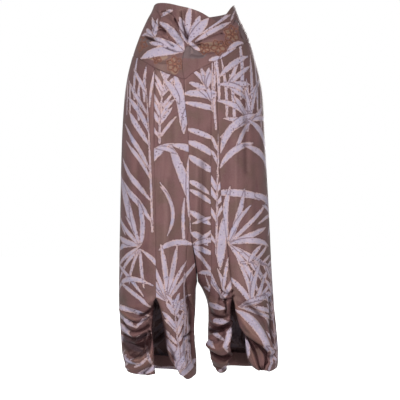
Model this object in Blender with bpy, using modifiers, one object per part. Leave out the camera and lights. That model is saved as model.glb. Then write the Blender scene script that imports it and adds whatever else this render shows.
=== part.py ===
"""Harem pants with a crossed, gathered yoke, a low crotch with gussets and
slit legs that turn under at the hem. All tables are in millimetres: drop is
the distance below the waist, x is to the wearer's left and the front faces -Y."""

import bpy
import numpy as np

MM = 0.001
CLOTH = 1.5
SEAM = 0.15  # each piece stops this far before its seam line
SEAM_TURNED = 0.4  # and this far where the hem turns
SEAM_YOKE = 0.4  # and this far below the yoke
CROTCH = 740.0  # drop of the crotch point
RISE = 220.0  # height over which the crotch curve opens to the full depth
HEM_CURL = 8.0  # radius of the turned hem
HEM_RISE = 30.0  # how far the turned hem goes up inside
EDGE_ROLL = 8.0  # radius of the rolled slit edges
LAP = 2.3  # how far the crossing yoke piece stands off the one beneath
LAP_UNDER = 6.0  # how far the lower yoke piece goes on beneath the upper one
RIGHT, LEFT = -1, 1

# drop, right side, left side
SIDES = [
    (-25, -113, 103), (0, -122, 112), (22, -134, 121), (50, -147, 135),
    (77, -158, 146), (132, -176, 162), (187, -189, 176), (242, -196, 184),
    (352, -203, 189), (462, -206, 195), (572, -208, 201), (682, -210, 206),
    (792, -211, 213), (874, -207, 221), (930, -203, 225), (960, -196, 225),
    (984, -184, 221), (1012, -170, 212),
]
# drop, front depth, back depth
DEPTHS = [
    (-25, 86, 90), (0, 88, 92), (80, 102, 112), (160, 112, 127),
    (240, 115, 132), (400, 113, 127), (560, 109, 119), (740, 105, 111),
    (850, 103, 107), (930, 99, 101), (975, 92, 94), (1015, 84, 86),
]
# drop, right leg's axis, left leg's axis
AXES = [
    (-25, -2, -2), (0, -4, 0), (80, -30, 24), (160, -62, 54), (240, -80, 76),
    (400, -95, 92), (560, -101, 101), (740, -104, 108), (850, -104, 122),
    (940, -103, 127), (1015, -99, 128),
]
# drop, centre front seam, centre back seam
CENTRE = [
    (-25, -2, -2), (0, -3, -2), (100, -18, -1), (190, -31, 0), (252, -29, 0),
    (334, -21, 1), (424, -18, 1), (504, -17, 2), (589, -17, 3), (634, -9, 3),
    (686, -1, 4), (740, 4, 4),
]
# drop, right leg's inseam, left leg's inseam
INSEAMS = [
    (740, 4, 4), (764, 0, 18), (792, -0.5, 29), (820, -1, 33), (847, -3, 33),
    (874, -4, 32), (902, -3, 32), (930, 0, 36), (957, 2, 42), (984, 2, 51),
    (1012, 0, 60),
]
# x, drop of the waist edge and of the yoke's lower edge, front and back
WAIST_RIGHT = [
    (-126, -7), (-106, -17), (-80, -13), (-42, -2), (-16, 5), (11, 15), (35, 29),
    (56, 42), (70, 52),
]
WAIST_LEFT = [
    (-12, 96), (-8, 92), (22, 68), (56, 42), (81, 17), (98, -8), (106, -16),
    (114, -8),
]
WAIST_BACK = [(-124, -7), (-60, 1), (-5, 2), (60, -2), (114, -8)]
YOKE_FRONT = [
    (-174, 121), (-160, 132), (-133, 151), (-108, 167), (-79, 181), (-50, 191),
    (-31, 197), (-10, 182), (11, 170), (45, 152), (75, 137), (110, 111),
    (142, 88), (152, 80),
]
YOKE_BACK = [(-174, 121), (-90, 140), (-5, 146), (80, 120), (152, 80)]
# drop, x of the line where the two front yoke pieces meet below the crossing
YOKE_MEET = [(92, -8), (111, -26), (135, -34), (162, -36), (200, -31)]
# drop, x of the seams on the front
SEAM_RIGHT = [(60, -111), (366, -111), (464, -110), (615, -107), (775, -106)]
SEAM_LEFT = [
    (60, 50), (252, 56), (319, 59), (440, 63), (525, 69), (570, 75), (650, 85),
    (748, 95), (775, 97),
]
GUSSET_LEFT = [
    (60, 43), (279, 41), (490, 40), (693, 40), (734, 39), (758, 37), (775, 34),
    (790, 30.6),
]
GUSSET_RIGHT = [
    (590, -19.2), (628, -22), (664, -25), (726, -25.5), (765, -21), (806, -8),
    (822, -3),
]
# drop, x of the slit edges
SLIT_RIGHT_OUTER = [
    (775, -106), (790, -113), (828, -115), (862, -118), (894, -115),
    (921, -112), (946, -112), (984, -109), (1010, -106),
]
SLIT_RIGHT_INNER = [
    (775, -106), (801, -96), (830, -90), (862, -83), (889, -79), (910, -77),
    (944, -67), (966, -54), (984, -43), (1010, -30),
]
SLIT_LEFT_INNER = [
    (775, 97), (788, 93), (820, 91), (846, 93), (871, 96), (914, 93),
    (950, 86), (967, 83), (1010, 80),
]
SLIT_LEFT_OUTER = [
    (775, 97), (790, 103), (817, 108), (846, 114), (873, 129), (892, 152),
    (910, 177), (936, 196), (949, 195), (965, 188), (981, 183), (1010, 178),
]
# drop, x of the free edge of the turned cloth in the left slit
TURN_EDGE = [
    (866, 127), (878, 131), (910, 133), (932, 135), (951, 141), (971, 155),
    (985, 166),
]
# x, drop of its lowest line
TURN_HEM = [(135, 944), (141, 953), (155, 967), (172, 976), (200, 972)]
TURN_HIDDEN = 9.0  # how far it goes on behind the slit edge
TURN_DEPTH = 8.7  # how far it lies inside the outer cloth
# x, drop of the lowest line of the hems; the outermost rows are the sides
HEM_RIGHT = [
    (-190, 985), (-158, 986), (-109, 989), (-70, 992), (-38, 995), (-14, 1003),
    (0, 998),
]
HEM_LEFT = [
    (45, 975), (58, 986), (83, 967), (94, 964), (141, 956), (155, 971),
    (180, 982), (214, 981), (225, 979),
]
HEM_BACK_RIGHT = [(-190, 985), (-150, 990), (-100, 993), (-50, 995), (0, 998)]
HEM_BACK_LEFT = [(45, 975), (90, 984), (140, 986), (190, 984), (225, 979)]
# drop of the level rows that all leg pieces share
ROWS = [
    230, 275, 325, 380, 435, 490, 545, 590, 628, 660, 688, 710, 726, 736, 740,
    747, 758, 775, 790, 806, 822, 838, 854, 870, 886, 902, 918, 934,
]
ROWS_ABOVE, ROWS_BELOW, ROWS_TURNED = 3, 3, 5
# The largest folds: leg, three points (x, drop) that the fold passes, height
# (a trough is negative), half width
FOLDS = [
    (RIGHT, -199, 795, -156, 823, -116, 801, -5, 9),
    (RIGHT, -198, 812, -150, 843, -118, 816, 4, 8),
    (RIGHT, -199, 843, -166, 861, -121, 838, -6, 8),
    (RIGHT, -198, 869, -164, 888, -119, 853, -5, 8),
    (RIGHT, -192, 902, -160, 915, -127, 886, -13, 16),
    (RIGHT, -180, 932, -148, 950, -114, 924, 6, 13),
    (RIGHT, -84, 866, -79, 900, -64, 938, -6, 9),
    (RIGHT, -52, 905, -44, 935, -25, 965, 4, 12),
    (RIGHT, -25, 745, -22, 790, -12, 850, -4, 8),
    (LEFT, 32, 812, 60, 828, 92, 800, -5, 8),
    (LEFT, 36, 848, 64, 866, 94, 846, -6, 8),
    (LEFT, 40, 896, 66, 910, 92, 892, 7, 14),
    (LEFT, 42, 938, 68, 948, 88, 930, -6, 9),
    (LEFT, 104, 800, 154, 848, 192, 918, 8, 17),
    (LEFT, 118, 780, 176, 835, 212, 905, -5, 15),
    (LEFT, 165, 930, 204, 945, 216, 975, -4, 12),
    (RIGHT, -150, 250, -152, 480, -150, 720, -3, 15),
    (RIGHT, -60, 300, -62, 500, -58, 720, -3, 15),
    (LEFT, 132, 240, 134, 460, 130, 700, -3, 16),
    (LEFT, 20, 420, 16, 560, 12, 700, -5, 10),
]
YOKE_FOLDS = [
    (RIGHT, -90, 22, -52, 44, -26, 96, -6, 8),
    (RIGHT, -118, 22, -100, 58, -60, 56, -5, 8),
    (RIGHT, -143, 78, -112, 80, -76, 62, -5, 8),
    (RIGHT, -104, 84, -66, 86, -30, 106, 5, 8),
    (RIGHT, -138, 104, -82, 110, -32, 122, -4, 8),
    (RIGHT, -42, 40, -30, 70, -16, 90, -5, 6),
    (LEFT, 106, 18, 52, 72, -4, 97, -3, 8),
    (LEFT, 132, 74, 64, 96, -2, 104, -4, 9),
]


def remove_everything():
    for item in list(bpy.data.objects):
        bpy.data.objects.remove(item)


def curve(table, column=1):
    """A smooth curve through one column of a table, against the first."""
    x = np.array([row[0] for row in table], float)
    y = np.array([row[column] for row in table], float)
    step = np.diff(x)
    rise = np.diff(y) / step
    slope = np.zeros(len(x))
    same_way = rise[:-1] * rise[1:] > 0
    total = np.where(same_way, rise[:-1] + rise[1:], 1)
    slope[1:-1] = np.where(same_way, 2 * rise[:-1] * rise[1:] / total, 0)
    slope[0] = rise[0]
    slope[-1] = rise[-1]

    def value(at):
        at = np.clip(np.asarray(at, float), x[0], x[-1])
        i = np.clip(np.searchsorted(x, at, side="right") - 1, 0, len(x) - 2)
        t = (at - x[i]) / step[i]
        ends = (2 * t**3 - 3 * t**2 + 1) * y[i] + (3 * t**2 - 2 * t**3) * y[i + 1]
        bend = (t**3 - 2 * t**2 + t) * slope[i] + (t**3 - t**2) * slope[i + 1]
        return ends + bend * step[i]

    return value


SIDE = {RIGHT: curve(SIDES, 1), LEFT: curve(SIDES, 2)}
AXIS = {RIGHT: curve(AXES, 1), LEFT: curve(AXES, 2)}
INSEAM = {RIGHT: curve(INSEAMS, 1), LEFT: curve(INSEAMS, 2)}
DEPTH = {"front": curve(DEPTHS, 1), "back": curve(DEPTHS, 2)}
MIDDLE = {"front": curve(CENTRE, 1), "back": curve(CENTRE, 2)}


def ramp(value, start, end):
    t = np.clip((value - start) / (end - start), 0, 1)
    return t * t * (3 - 2 * t)


def section(leg, drop, face):
    """Axis, side, inner edge, the inner part's angle and the depth at a drop."""
    axis = AXIS[leg](drop)
    open_share = np.clip((CROTCH - drop) / RISE, 0, 1)
    angle = np.arccos(np.sqrt(open_share * (2 - open_share)))
    angle = np.maximum(angle, 1e-3)
    depth = DEPTH[face](drop)
    inner = np.where(drop < CROTCH, MIDDLE[face](drop), INSEAM[leg](drop))
    # the two legs' cloth stands apart where it turns away from the front
    slope = depth * np.sin(angle) / np.maximum(
        np.abs(inner - axis) / np.sin(angle) * np.cos(angle), 1e-6
    )
    inner = inner + leg * (CLOTH / 2 + 0.1) * slope / np.hypot(slope, 1)
    return axis, SIDE[leg](drop), inner, angle, depth


def around(leg, q, drop, face):
    """The point at q: -1 is the inner edge, 0 the leg's axis, 1 the side."""
    axis, side, inner, angle, depth = section(leg, drop, face)
    outer = q >= 0
    phi = np.where(outer, q * np.pi / 2, -q * angle)
    reach = np.where(outer, side - axis, (inner - axis) / np.sin(angle))
    x = axis + reach * np.sin(phi)
    sign = -1 if face == "front" else 1
    y = sign * depth * np.cos(phi)
    nx = depth * np.sin(phi) * np.sign(reach)
    ny = sign * np.abs(reach) * np.cos(phi)
    length = np.hypot(nx, ny)
    return x, y, nx / length, ny / length


def q_at(leg, x, drop, face="front"):
    axis, side, inner, angle, _ = section(leg, drop, face)
    out = (x - axis) * leg
    outer = np.arcsin(np.clip(out / np.abs(side - axis), 0, 1)) / (np.pi / 2)
    share = np.clip(-out / np.maximum(np.abs(inner - axis), 1e-6), 0, 1)
    return np.where(out >= 0, outer, -np.arcsin(share * np.sin(angle)) / angle)


def fold_height(folds, leg, x, drop):
    """The sum of the folds of one leg at a place, as a height."""
    height = np.zeros(np.broadcast(x, drop).shape)
    for side, x1, d1, x2, d2, x3, d3, size, width in folds:
        if side != leg:
            continue
        t = np.linspace(0, 1, 13)
        cx = 2 * x2 - (x1 + x3) / 2
        cd = 2 * d2 - (d1 + d3) / 2
        px = (1 - t) ** 2 * x1 + 2 * t * (1 - t) * cx + t**2 * x3
        pd = (1 - t) ** 2 * d1 + 2 * t * (1 - t) * cd + t**2 * d3
        best = np.full(height.shape, 1e9)
        for k in range(12):
            ux, ud = px[k + 1] - px[k], pd[k + 1] - pd[k]
            along = ((x - px[k]) * ux + (drop - pd[k]) * ud) / (ux * ux + ud * ud)
            along = np.clip(along, 0, 1)
            off = np.hypot(x - px[k] - along * ux, drop - pd[k] - along * ud)
            best = np.minimum(best, off)
        height += size * np.exp(-((best / width) ** 2))
    return height


def hem_wave(leg, x, drop, face):
    """Uneven waves that grow towards the hem."""
    shift = 0.7 if face == "front" else 2.1
    wave = np.sin(x / 17 + shift * leg) + 0.6 * np.sin(x / 9.5 + 1.3 + shift)
    return 2.2 * ramp(drop, 800, 960) * wave * np.cos(x / 190)


def leg_point(leg, q, drop, face, slit=None):
    """A point of a leg piece with its folds, in millimetres, and its normal."""
    x, y, nx, ny = around(leg, q, drop, face)
    edge = np.minimum(1 - q, 1 + q)
    calm = ramp(edge, 0, 0.2)
    if face == "front":
        height = fold_height(FOLDS, leg, x, drop) * calm
    else:
        height = -3 * np.exp(-(((x - AXIS[leg](drop) - 30 * leg) / 18) ** 2))
        height = height * ramp(drop, 200, 330) * ramp(-drop, -880, -700)
    height = height + hem_wave(leg, x, drop, face) * calm
    x = x + nx * height
    y = y + ny * height
    if slit is not None:
        away = np.clip(np.abs(q - slit) * 150, 0, EDGE_ROLL) / EDGE_ROLL
        roll = EDGE_ROLL * (1 - np.sqrt(1 - (1 - away) ** 2 + 1e-9))
        y = y + roll * ramp(drop, 776, 805)
    return np.stack([x, y, -drop], -1), np.stack([nx, ny, 0 * nx], -1)


def spaced(count, dense_at=None):
    """Even shares from 0 to 1 with, beside them, the shares along a slit,
    which are narrower at its edge: dense_at is "start" or "end"."""
    even = np.linspace(0, 1, count + 1)
    if dense_at is None:
        return list(zip(even, even))
    close = np.array([0, 0.012, 0.035, 0.075])
    rest = 0.075 + (1 - 0.075) * np.linspace(0, 1, count - 2)[1:]
    dense = np.concatenate([close, rest])
    if dense_at == "end":
        dense = 1 - dense[::-1]
    return list(zip(even, dense))


def row_drops(q_of_drop, leg, face, top_line, hem_line, start=None, end=None):
    """The drops down one column, with the sloping rows above and below."""
    drops = []
    first = 150.0
    for _ in range(12):
        x = around(leg, q_of_drop(first), first, face)[0]
        first = float(top_line(x))
    last = 980.0
    for _ in range(12):
        x = around(leg, q_of_drop(last), last, face)[0]
        last = float(hem_line(x)) - HEM_CURL
    if start is None:
        drops += list(np.linspace(first, ROWS[0], ROWS_ABOVE + 1)[:-1])
    drops += [row for row in ROWS if (start or 0) <= row <= (end or 2000)]
    if end is None:
        drops += list(np.linspace(ROWS[-1], last, ROWS_BELOW + 1)[1:])
    return drops


def leg_piece(leg, face, q_from, q_to, top_line, hem_line, columns, dense_at=None,
              slit=None, start=None, end=None):
    """The grid of points of one leg piece, rows from the top down."""
    grid = []
    for even, dense in spaced(columns, dense_at):
        def q_of_drop(drop, even=even, dense=dense):
            u = even + (dense - even) * ramp(drop, 640, 770)
            return q_from(drop) * (1 - u) + q_to(drop) * u

        drops = np.array(
            row_drops(q_of_drop, leg, face, top_line, hem_line, start, end)
        )
        q = np.array([float(q_of_drop(drop)) for drop in drops])
        edge = None
        if slit is not None:
            edge = np.array([float(slit(drop)) for drop in drops])
        points, normals = leg_point(leg, q, drops, face, edge)
        column = list(points)
        if end is None:
            column += turned_under(leg, face, q_of_drop, drops[-1], slit)
        grid.append(column)
    return np.array(grid).transpose(1, 0, 2)


def turned_under(leg, face, q_of_drop, last, slit):
    """The points of the hem that curls inwards and goes up inside."""
    turned = []
    curl = ROWS_TURNED - 2

    def outer(drop):
        drops = np.array([drop])
        q = np.array([float(q_of_drop(drop))])
        edge = None if slit is None else np.array([float(slit(drop))])
        points, normals = leg_point(leg, q, drops, face, edge)
        return points[0], normals[0]

    for k in range(1, curl + 1):
        angle = np.pi * k / curl
        point, normal = outer(last)
        inward = HEM_CURL * (1 - np.cos(angle))
        down = HEM_CURL * np.sin(angle)
        turned.append(point - normal * inward - np.array([0, 0, down]))
    rise = HEM_RISE
    if slit is not None:
        away = np.abs(q_of_drop(last) - slit(last)) * 150
        rise = HEM_RISE * (0.15 + 0.85 * float(ramp(away, 0, 28)))
    for k in (1, 2):
        point, normal = outer(last - rise * k / 2)
        turned.append(point - normal * (2 * HEM_CURL + 1.5 * k))
    return turned


def trimmed(grid, turned_rows=0):
    """The grid with its outer points drawn back from the seam lines."""
    grid = grid.copy()
    amount = np.full(grid.shape[:2] + (1,), SEAM)
    if turned_rows:
        amount[-turned_rows:] = SEAM_TURNED
        amount[0] = SEAM_YOKE
    for edge, inside in (
        ((slice(None), 0), (slice(None), 1)),
        ((slice(None), -1), (slice(None), -2)),
        ((0, slice(None)), (1, slice(None))),
        ((-1, slice(None)), (-2, slice(None))),
    ):
        way = grid[inside] - grid[edge]
        length = np.linalg.norm(way, axis=-1, keepdims=True)
        grid[edge] += way / np.maximum(length, 1e-6) * amount[edge]
    return grid


def material(name, rgb, roughness):
    made = bpy.data.materials.new(name)
    made.use_nodes = True
    shader = made.node_tree.nodes["Principled BSDF"]
    shader.inputs["Base Color"].default_value = (*rgb, 1)
    shader.inputs["Roughness"].default_value = roughness
    shader.inputs["Metallic"].default_value = 0
    return made


def cloth(name, grid, rgb, collection, flip=False, turned_rows=0):
    """One cut piece as a sheet of cloth with its thickness."""
    rows, columns = grid.shape[:2]
    grid = trimmed(grid, turned_rows)
    faces = []
    for i in range(rows - 1):
        for j in range(columns - 1):
            a = i * columns + j
            face = (a, a + columns, a + columns + 1, a + 1)
            faces.append(face[::-1] if flip else face)
    mesh = bpy.data.meshes.new(name)
    mesh.from_pydata((grid.reshape(-1, 3) * MM).tolist(), [], faces)
    piece = bpy.data.objects.new(name, mesh)
    collection.objects.link(piece)
    mesh.materials.append(material(name + "_cloth", rgb, 0.55))
    shell = piece.modifiers.new("thickness", "SOLIDIFY")
    shell.thickness = CLOTH * MM
    shell.offset = 0
    return piece


def front_point(x, drop, lift=0.0):
    """A point of the front above the crotch, at x, in millimetres."""
    middle = MIDDLE["front"](drop)
    points = []
    for leg in (RIGHT, LEFT):
        q = q_at(leg, x, drop)
        _, y, nx, ny = around(leg, q, drop, "front")
        points.append(np.stack([x + 0 * y, y, nx, ny], -1))
    chosen = np.where((x < middle)[..., None], points[0], points[1])
    y, nx, ny = chosen[..., 1], chosen[..., 2], chosen[..., 3]
    return np.stack([x + nx * lift, y + ny * lift, -drop], -1)


def yoke_right(columns=20, rows=14):
    """The gathered front yoke piece, from the right side past the crossing."""
    top, bottom = curve(WAIST_RIGHT), curve(YOKE_FRONT)
    lap_line = curve([(row[1], row[0]) for row in WAIST_LEFT[1:6]][::-1])
    meet = curve(YOKE_MEET)

    def right_edge(drop):
        under = lap_line(drop) + LAP_UNDER
        below = meet(drop) + LAP_UNDER * (1 - ramp(drop, 90, 106))
        return np.where(drop < 92, under, below)

    grid = np.zeros((rows + 1, columns + 1, 3))
    for j, u in enumerate(1 - np.cos(np.linspace(0, 1, columns + 1) * 1.25)):
        share = u / (1 - np.cos(1.25))

        def x_of(drop, share=share):
            side = SIDE[RIGHT](drop)
            return side + (right_edge(drop) - side) * share

        first, last = 0.0, 150.0
        for _ in range(25):
            first = 0.5 * first + 0.5 * float(top(x_of(first)))
            last = float(bottom(x_of(last)))
        drop = np.linspace(first, last, rows + 1)
        x = x_of(drop)
        calm = ramp(x - SIDE[RIGHT](drop), 2, 22)
        calm = calm * (1 - 0.75 * ramp(x - meet(drop), -14, 4) * (drop > 85))
        lift = fold_height(YOKE_FOLDS, RIGHT, x, drop) * calm
        edge = ramp(drop - first, 0, 10) * ramp(last - drop, 0, 16)
        under = ramp(x - right_edge(drop), -34, -10)
        grid[:, j] = front_point(x, drop, lift * edge * (1 - under))
    return grid


def yoke_left(columns=17, rows=11):
    """The front yoke piece that crosses over, from the crossing to the side."""
    top, bottom, meet = curve(WAIST_LEFT), curve(YOKE_FRONT), curve(YOKE_MEET)
    grid = np.zeros((rows + 1, columns + 1, 3))
    for j, u in enumerate(np.sin(np.linspace(0, 1, columns + 1) * 1.3)):
        share = u / np.sin(1.3)

        def x_of(drop, share=share):
            side = SIDE[LEFT](drop)
            start = meet(drop) + 0.5
            return start + (side - start) * share

        first, last = 60.0, 150.0
        for _ in range(25):
            first = 0.5 * first + 0.5 * float(top(x_of(first)))
            last = float(bottom(x_of(last)))
        drop = np.linspace(first, last, rows + 1)
        x = x_of(drop)
        calm = ramp(SIDE[LEFT](drop) - x, 2, 22)
        fold = fold_height(YOKE_FOLDS, LEFT, x, drop) * calm
        edge = ramp(drop - first, 4, 24) * ramp(last - drop, 0, 16)
        lap = LAP * (1 - ramp(drop - first, 18, 44)) * (x < 78)
        lap = lap * (1 - ramp(x, 60, 78)) * ramp(last - drop, 4, 24)
        away = ramp(x - meet(drop), 0, 8)
        grid[:, j] = front_point(x, drop, fold * edge * away + lap)
    return grid


def yoke_back(columns=20, rows=4):
    top, bottom = curve(WAIST_BACK), curve(YOKE_BACK)
    grid = np.zeros((rows + 1, columns + 1, 3))
    for j, angle in enumerate(np.linspace(-np.pi / 2, np.pi / 2, columns + 1)):
        leg = RIGHT if angle < 0 else LEFT

        def x_of(drop, leg=leg, share=abs(np.sin(angle))):
            middle = MIDDLE["back"](drop)
            return middle + (SIDE[leg](drop) - middle) * share

        first, last = 0.0, 130.0
        for _ in range(12):
            first = float(top(x_of(first)))
            last = float(bottom(x_of(last)))
        drop = np.linspace(first, last, rows + 1)
        x = x_of(drop)
        q = q_at(leg, x, drop, "back")
        _, y, _, _ = around(leg, q, drop, "back")
        grid[:, j] = np.stack([x, y, -drop], -1)
    return grid


def hem_turn(columns=12, rows=12):
    """The turned cloth that shows behind the left leg's outer slit edge."""
    edge, inner_line, lowest = curve(SLIT_LEFT_OUTER), curve(TURN_EDGE), curve(TURN_HEM)
    grid = np.zeros((rows + 1, columns + 1, 3))
    for j, u in enumerate(np.linspace(0, 1, columns + 1)):
        last = 970.0
        for _ in range(12):
            hidden = edge(last) + TURN_HIDDEN
            last = float(lowest(hidden + (inner_line(last) - hidden) * u))
        drop = np.linspace(868, last, rows + 1)
        hidden = edge(drop) + TURN_HIDDEN
        x = hidden + (inner_line(drop) - hidden) * u
        _, y, nx, ny = around(LEFT, q_at(LEFT, x, drop), drop, "front")
        points, _ = leg_point(LEFT, q_at(LEFT, x, drop), drop, "front")
        plain = ramp(edge(drop) - x, 0, 25)
        y = points[:, 1] * (1 - plain) + y * plain
        y = y + TURN_DEPTH + 4 * u + 3 * ramp(x, 160, 190) + 3 * ramp(905 - drop, 0, 25)
        y = y + 3.2 * np.sin(u * 11 + drop / 50) * ramp(u, 0.25, 0.5)
        y = y + 6 * ramp(drop, last - 14, last) ** 2 * ramp(u, 0.35, 0.6)
        grid[:, j] = np.stack([x, y, -drop], -1)
    return grid


def q_line(leg, table, face="front"):
    line = curve(table)
    return lambda drop: q_at(leg, line(drop), np.asarray(drop, float), face)


def joined(leg, upper, lower):
    """A seam line that goes on as a slit edge below the slit's top."""
    above, below = q_line(leg, upper), q_line(leg, lower)
    return lambda drop: np.where(np.asarray(drop) <= 775, above(drop), below(drop))


def inner_edge(drop):
    return -1.0 + 0 * np.asarray(drop, float)


def side_edge(drop):
    return 1.0 + 0 * np.asarray(drop, float)


def beside_gusset(leg, table, first, last):
    """The edge of a piece that follows a gusset and then the inner edge."""
    line = q_line(leg, table)
    return lambda drop: np.where(
        (np.asarray(drop) >= first) & (np.asarray(drop) <= last), line(drop), -1.0
    )


def build():
    remove_everything()
    trousers = bpy.data.collections.new("harem_pants")
    bpy.context.scene.collection.children.link(trousers)
    yoke_line, back_line = curve(YOKE_FRONT), curve(YOKE_BACK)
    hem = {RIGHT: curve(HEM_RIGHT), LEFT: curve(HEM_LEFT)}
    hem_back = {RIGHT: curve(HEM_BACK_RIGHT), LEFT: curve(HEM_BACK_LEFT)}
    brown = (0.18, 0.11, 0.10)
    lilac = (0.42, 0.36, 0.43)

    cloth("yoke_front_right", yoke_right(), lilac, trousers)
    cloth("yoke_front_left", yoke_left(), brown, trousers)
    cloth("yoke_back", yoke_back(), brown, trousers, flip=True)

    right_seam = joined(RIGHT, SEAM_RIGHT, SLIT_RIGHT_OUTER)
    right_slit = q_line(RIGHT, SLIT_RIGHT_OUTER)
    grid = leg_piece(RIGHT, "front", right_seam, side_edge, yoke_line, hem[RIGHT],
                     12, "start", right_slit)
    cloth("front_outer_right", grid, lilac, trousers, True, ROWS_TURNED + 1)

    right_inner = joined(RIGHT, SEAM_RIGHT, SLIT_RIGHT_INNER)
    right_slit = q_line(RIGHT, SLIT_RIGHT_INNER)
    beside = beside_gusset(RIGHT, GUSSET_RIGHT, 589, 830)
    grid = leg_piece(RIGHT, "front", right_inner, beside, yoke_line, hem[RIGHT],
                     10, "start", right_slit)
    cloth("front_inner_right", grid, brown, trousers, False, ROWS_TURNED + 1)
    grid = leg_piece(RIGHT, "front", q_line(RIGHT, GUSSET_RIGHT), inner_edge,
                     yoke_line, hem[RIGHT], 3, start=590, end=822)
    cloth("gusset_right", grid, lilac, trousers)

    left_seam = joined(LEFT, SEAM_LEFT, SLIT_LEFT_OUTER)
    left_slit = q_line(LEFT, SLIT_LEFT_OUTER)
    grid = leg_piece(LEFT, "front", left_seam, side_edge, yoke_line, hem[LEFT],
                     14, "start", left_slit)
    cloth("front_outer_left", grid, brown, trousers, False, ROWS_TURNED + 1)
    left_inner = joined(LEFT, SEAM_LEFT, SLIT_LEFT_INNER)
    left_slit = q_line(LEFT, SLIT_LEFT_INNER)
    beside = beside_gusset(LEFT, GUSSET_LEFT, 0, 795)
    grid = leg_piece(LEFT, "front", beside, left_inner, yoke_line, hem[LEFT],
                     8, "end", left_slit)
    cloth("front_inner_left", grid, lilac, trousers, False, ROWS_TURNED + 1)
    grid = leg_piece(LEFT, "front", inner_edge, q_line(LEFT, GUSSET_LEFT),
                     yoke_line, hem[LEFT], 5, end=790)
    cloth("gusset_left", grid, brown, trousers)

    for leg, name in ((RIGHT, "back_right"), (LEFT, "back_left")):
        grid = leg_piece(leg, "back", inner_edge, side_edge, back_line,
                         hem_back[leg], 16)
        cloth(name, grid, brown, trousers, leg == LEFT, ROWS_TURNED + 1)
    cloth("hem_turn_left", hem_turn(), lilac, trousers, flip=True)


build()
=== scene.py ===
"""Harem pants in a printed satin weave: every cut piece as a sheet of cloth on
the form of its solid, with its folds, its gathers and its palm leaf print. The
tables are in millimetres: drop is the distance below the waist, x is to the
wearer's left and the front faces -Y. On a leg, q runs round half of it, from
-1 at the inner edge over 0 on the leg's axis to 1 at the side."""

import math

import bpy
import mathutils
import numpy as np
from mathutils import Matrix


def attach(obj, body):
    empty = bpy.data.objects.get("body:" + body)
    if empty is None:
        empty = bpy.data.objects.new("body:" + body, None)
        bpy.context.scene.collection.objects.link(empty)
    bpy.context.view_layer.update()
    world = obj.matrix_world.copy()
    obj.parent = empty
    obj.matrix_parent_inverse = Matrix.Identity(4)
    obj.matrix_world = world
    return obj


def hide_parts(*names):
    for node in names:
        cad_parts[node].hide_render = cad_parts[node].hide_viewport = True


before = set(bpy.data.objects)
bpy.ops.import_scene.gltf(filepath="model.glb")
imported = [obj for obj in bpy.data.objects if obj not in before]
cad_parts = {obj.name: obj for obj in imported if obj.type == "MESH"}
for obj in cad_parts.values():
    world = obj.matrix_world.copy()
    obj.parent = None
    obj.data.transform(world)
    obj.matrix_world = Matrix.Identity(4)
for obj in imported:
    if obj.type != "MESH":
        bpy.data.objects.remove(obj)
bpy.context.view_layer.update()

MM = 0.001
CLOTH = 1.5  # the solids' wall, which the sheets lie in
SHEET = 1.0  # the sheets' own thickness
LEG_GAP = 0.1  # left free between each leg's cloth and the middle
SEAM = 0.15  # each piece stops this far before its seam line
SEAM_SINK = 1.5  # how far the cloth dips into a seam
SEAM_WIDTH = 1.6  # half the width of that dip
SEAM_PAINTED_SHADE = 4.5  # and the painted shade in it there, as a depth of fold
SEAM_ROWS = (0.8, 1.7)  # where rows of points lie beside a seam
STEP = {"front": 2.2, "back": 3.6}  # spacing of the rows and columns of a sheet
FINE_STEP = 1.5  # and of the yoke, whose gathers are finer
CROTCH = 740.0  # drop of the crotch point
RISE = 220.0  # height over which the crotch curve opens to the full depth
SLIT_TOP = 775  # drop at which the front seams end in the slits
SLIT_SCALE = 150  # about how long a unit of q is beside a slit
HEM_CURL = 8.0  # radius of the turned hem
HEM_RISE = 30.0  # how far the turned hem goes up inside
HEM_WAVE = 2.2  # height of the waves at the hem
EDGE_ROLL = 8.0  # radius of the rolled slit edges
CROSSING = (-14, 98)  # x, drop of the point where the front yoke pieces cross
LAP = 2.3  # how far the crossing yoke piece stands off the one beneath
LAP_UNDER = 6.0  # how far the lower yoke piece goes on beneath the upper one
TIP = 0.2  # the share of a leaf's length over which its ends taper
BLUNT = 0.65  # an end with this share of the full width or more isn't pointed
INK_REACH = 12  # how far from a leaf the cloth still knows the distance to it
BARE = 40.0  # the distance that stands for no ink at all
PAINTED_SHADE_DEPTHS = (1.5, 9.0)  # the depths between which painted shade darkens a fold's bottom
PAINTED_BOUNCE_HEIGHTS = (-1.5, -7.0)  # and the heights between which a painted warm bounce light lies on its ridge
YOKE_SOFT = 0.9  # the share of the solid's large yoke folds that the sheet shows
YOKE_PAINTED_SHADE = 0.8  # the painted shade in these, as a share of their depth
CREASE_PAINTED_SHADE = 1.5  # and the painted shade in the fine creases of the yoke
# the dip down the back of each leg: depth, distance from the axis, half width
BACK_DIP = (3, 30, 18)
RIGHT, LEFT = -1, 1

# drop, right side, left side
SIDES = [
    (-25, -113, 103), (0, -122, 112), (22, -134, 121), (50, -147, 135), (77, -158, 146),
    (132, -176, 162), (187, -189, 176), (242, -196, 184), (352, -203, 189), (462, -206, 195),
    (572, -208, 201), (682, -210, 206), (792, -211, 213), (874, -207, 221), (930, -203, 225),
    (960, -196, 225), (984, -184, 221), (1012, -170, 212),
]
# drop, front depth, back depth
DEPTHS = [
    (-25, 86, 90), (0, 88, 92), (80, 102, 112), (160, 112, 127), (240, 115, 132), (400, 113, 127),
    (560, 109, 119), (740, 105, 111), (850, 103, 107), (930, 99, 101), (975, 92, 94),
    (1015, 84, 86),
]
# drop, right leg's axis, left leg's axis
AXES = [
    (-25, -2, -2), (0, -4, 0), (80, -30, 24), (160, -62, 54), (240, -80, 76), (400, -95, 92),
    (560, -101, 101), (740, -104, 108), (850, -104, 122), (940, -103, 127), (1015, -99, 128),
]
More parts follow.
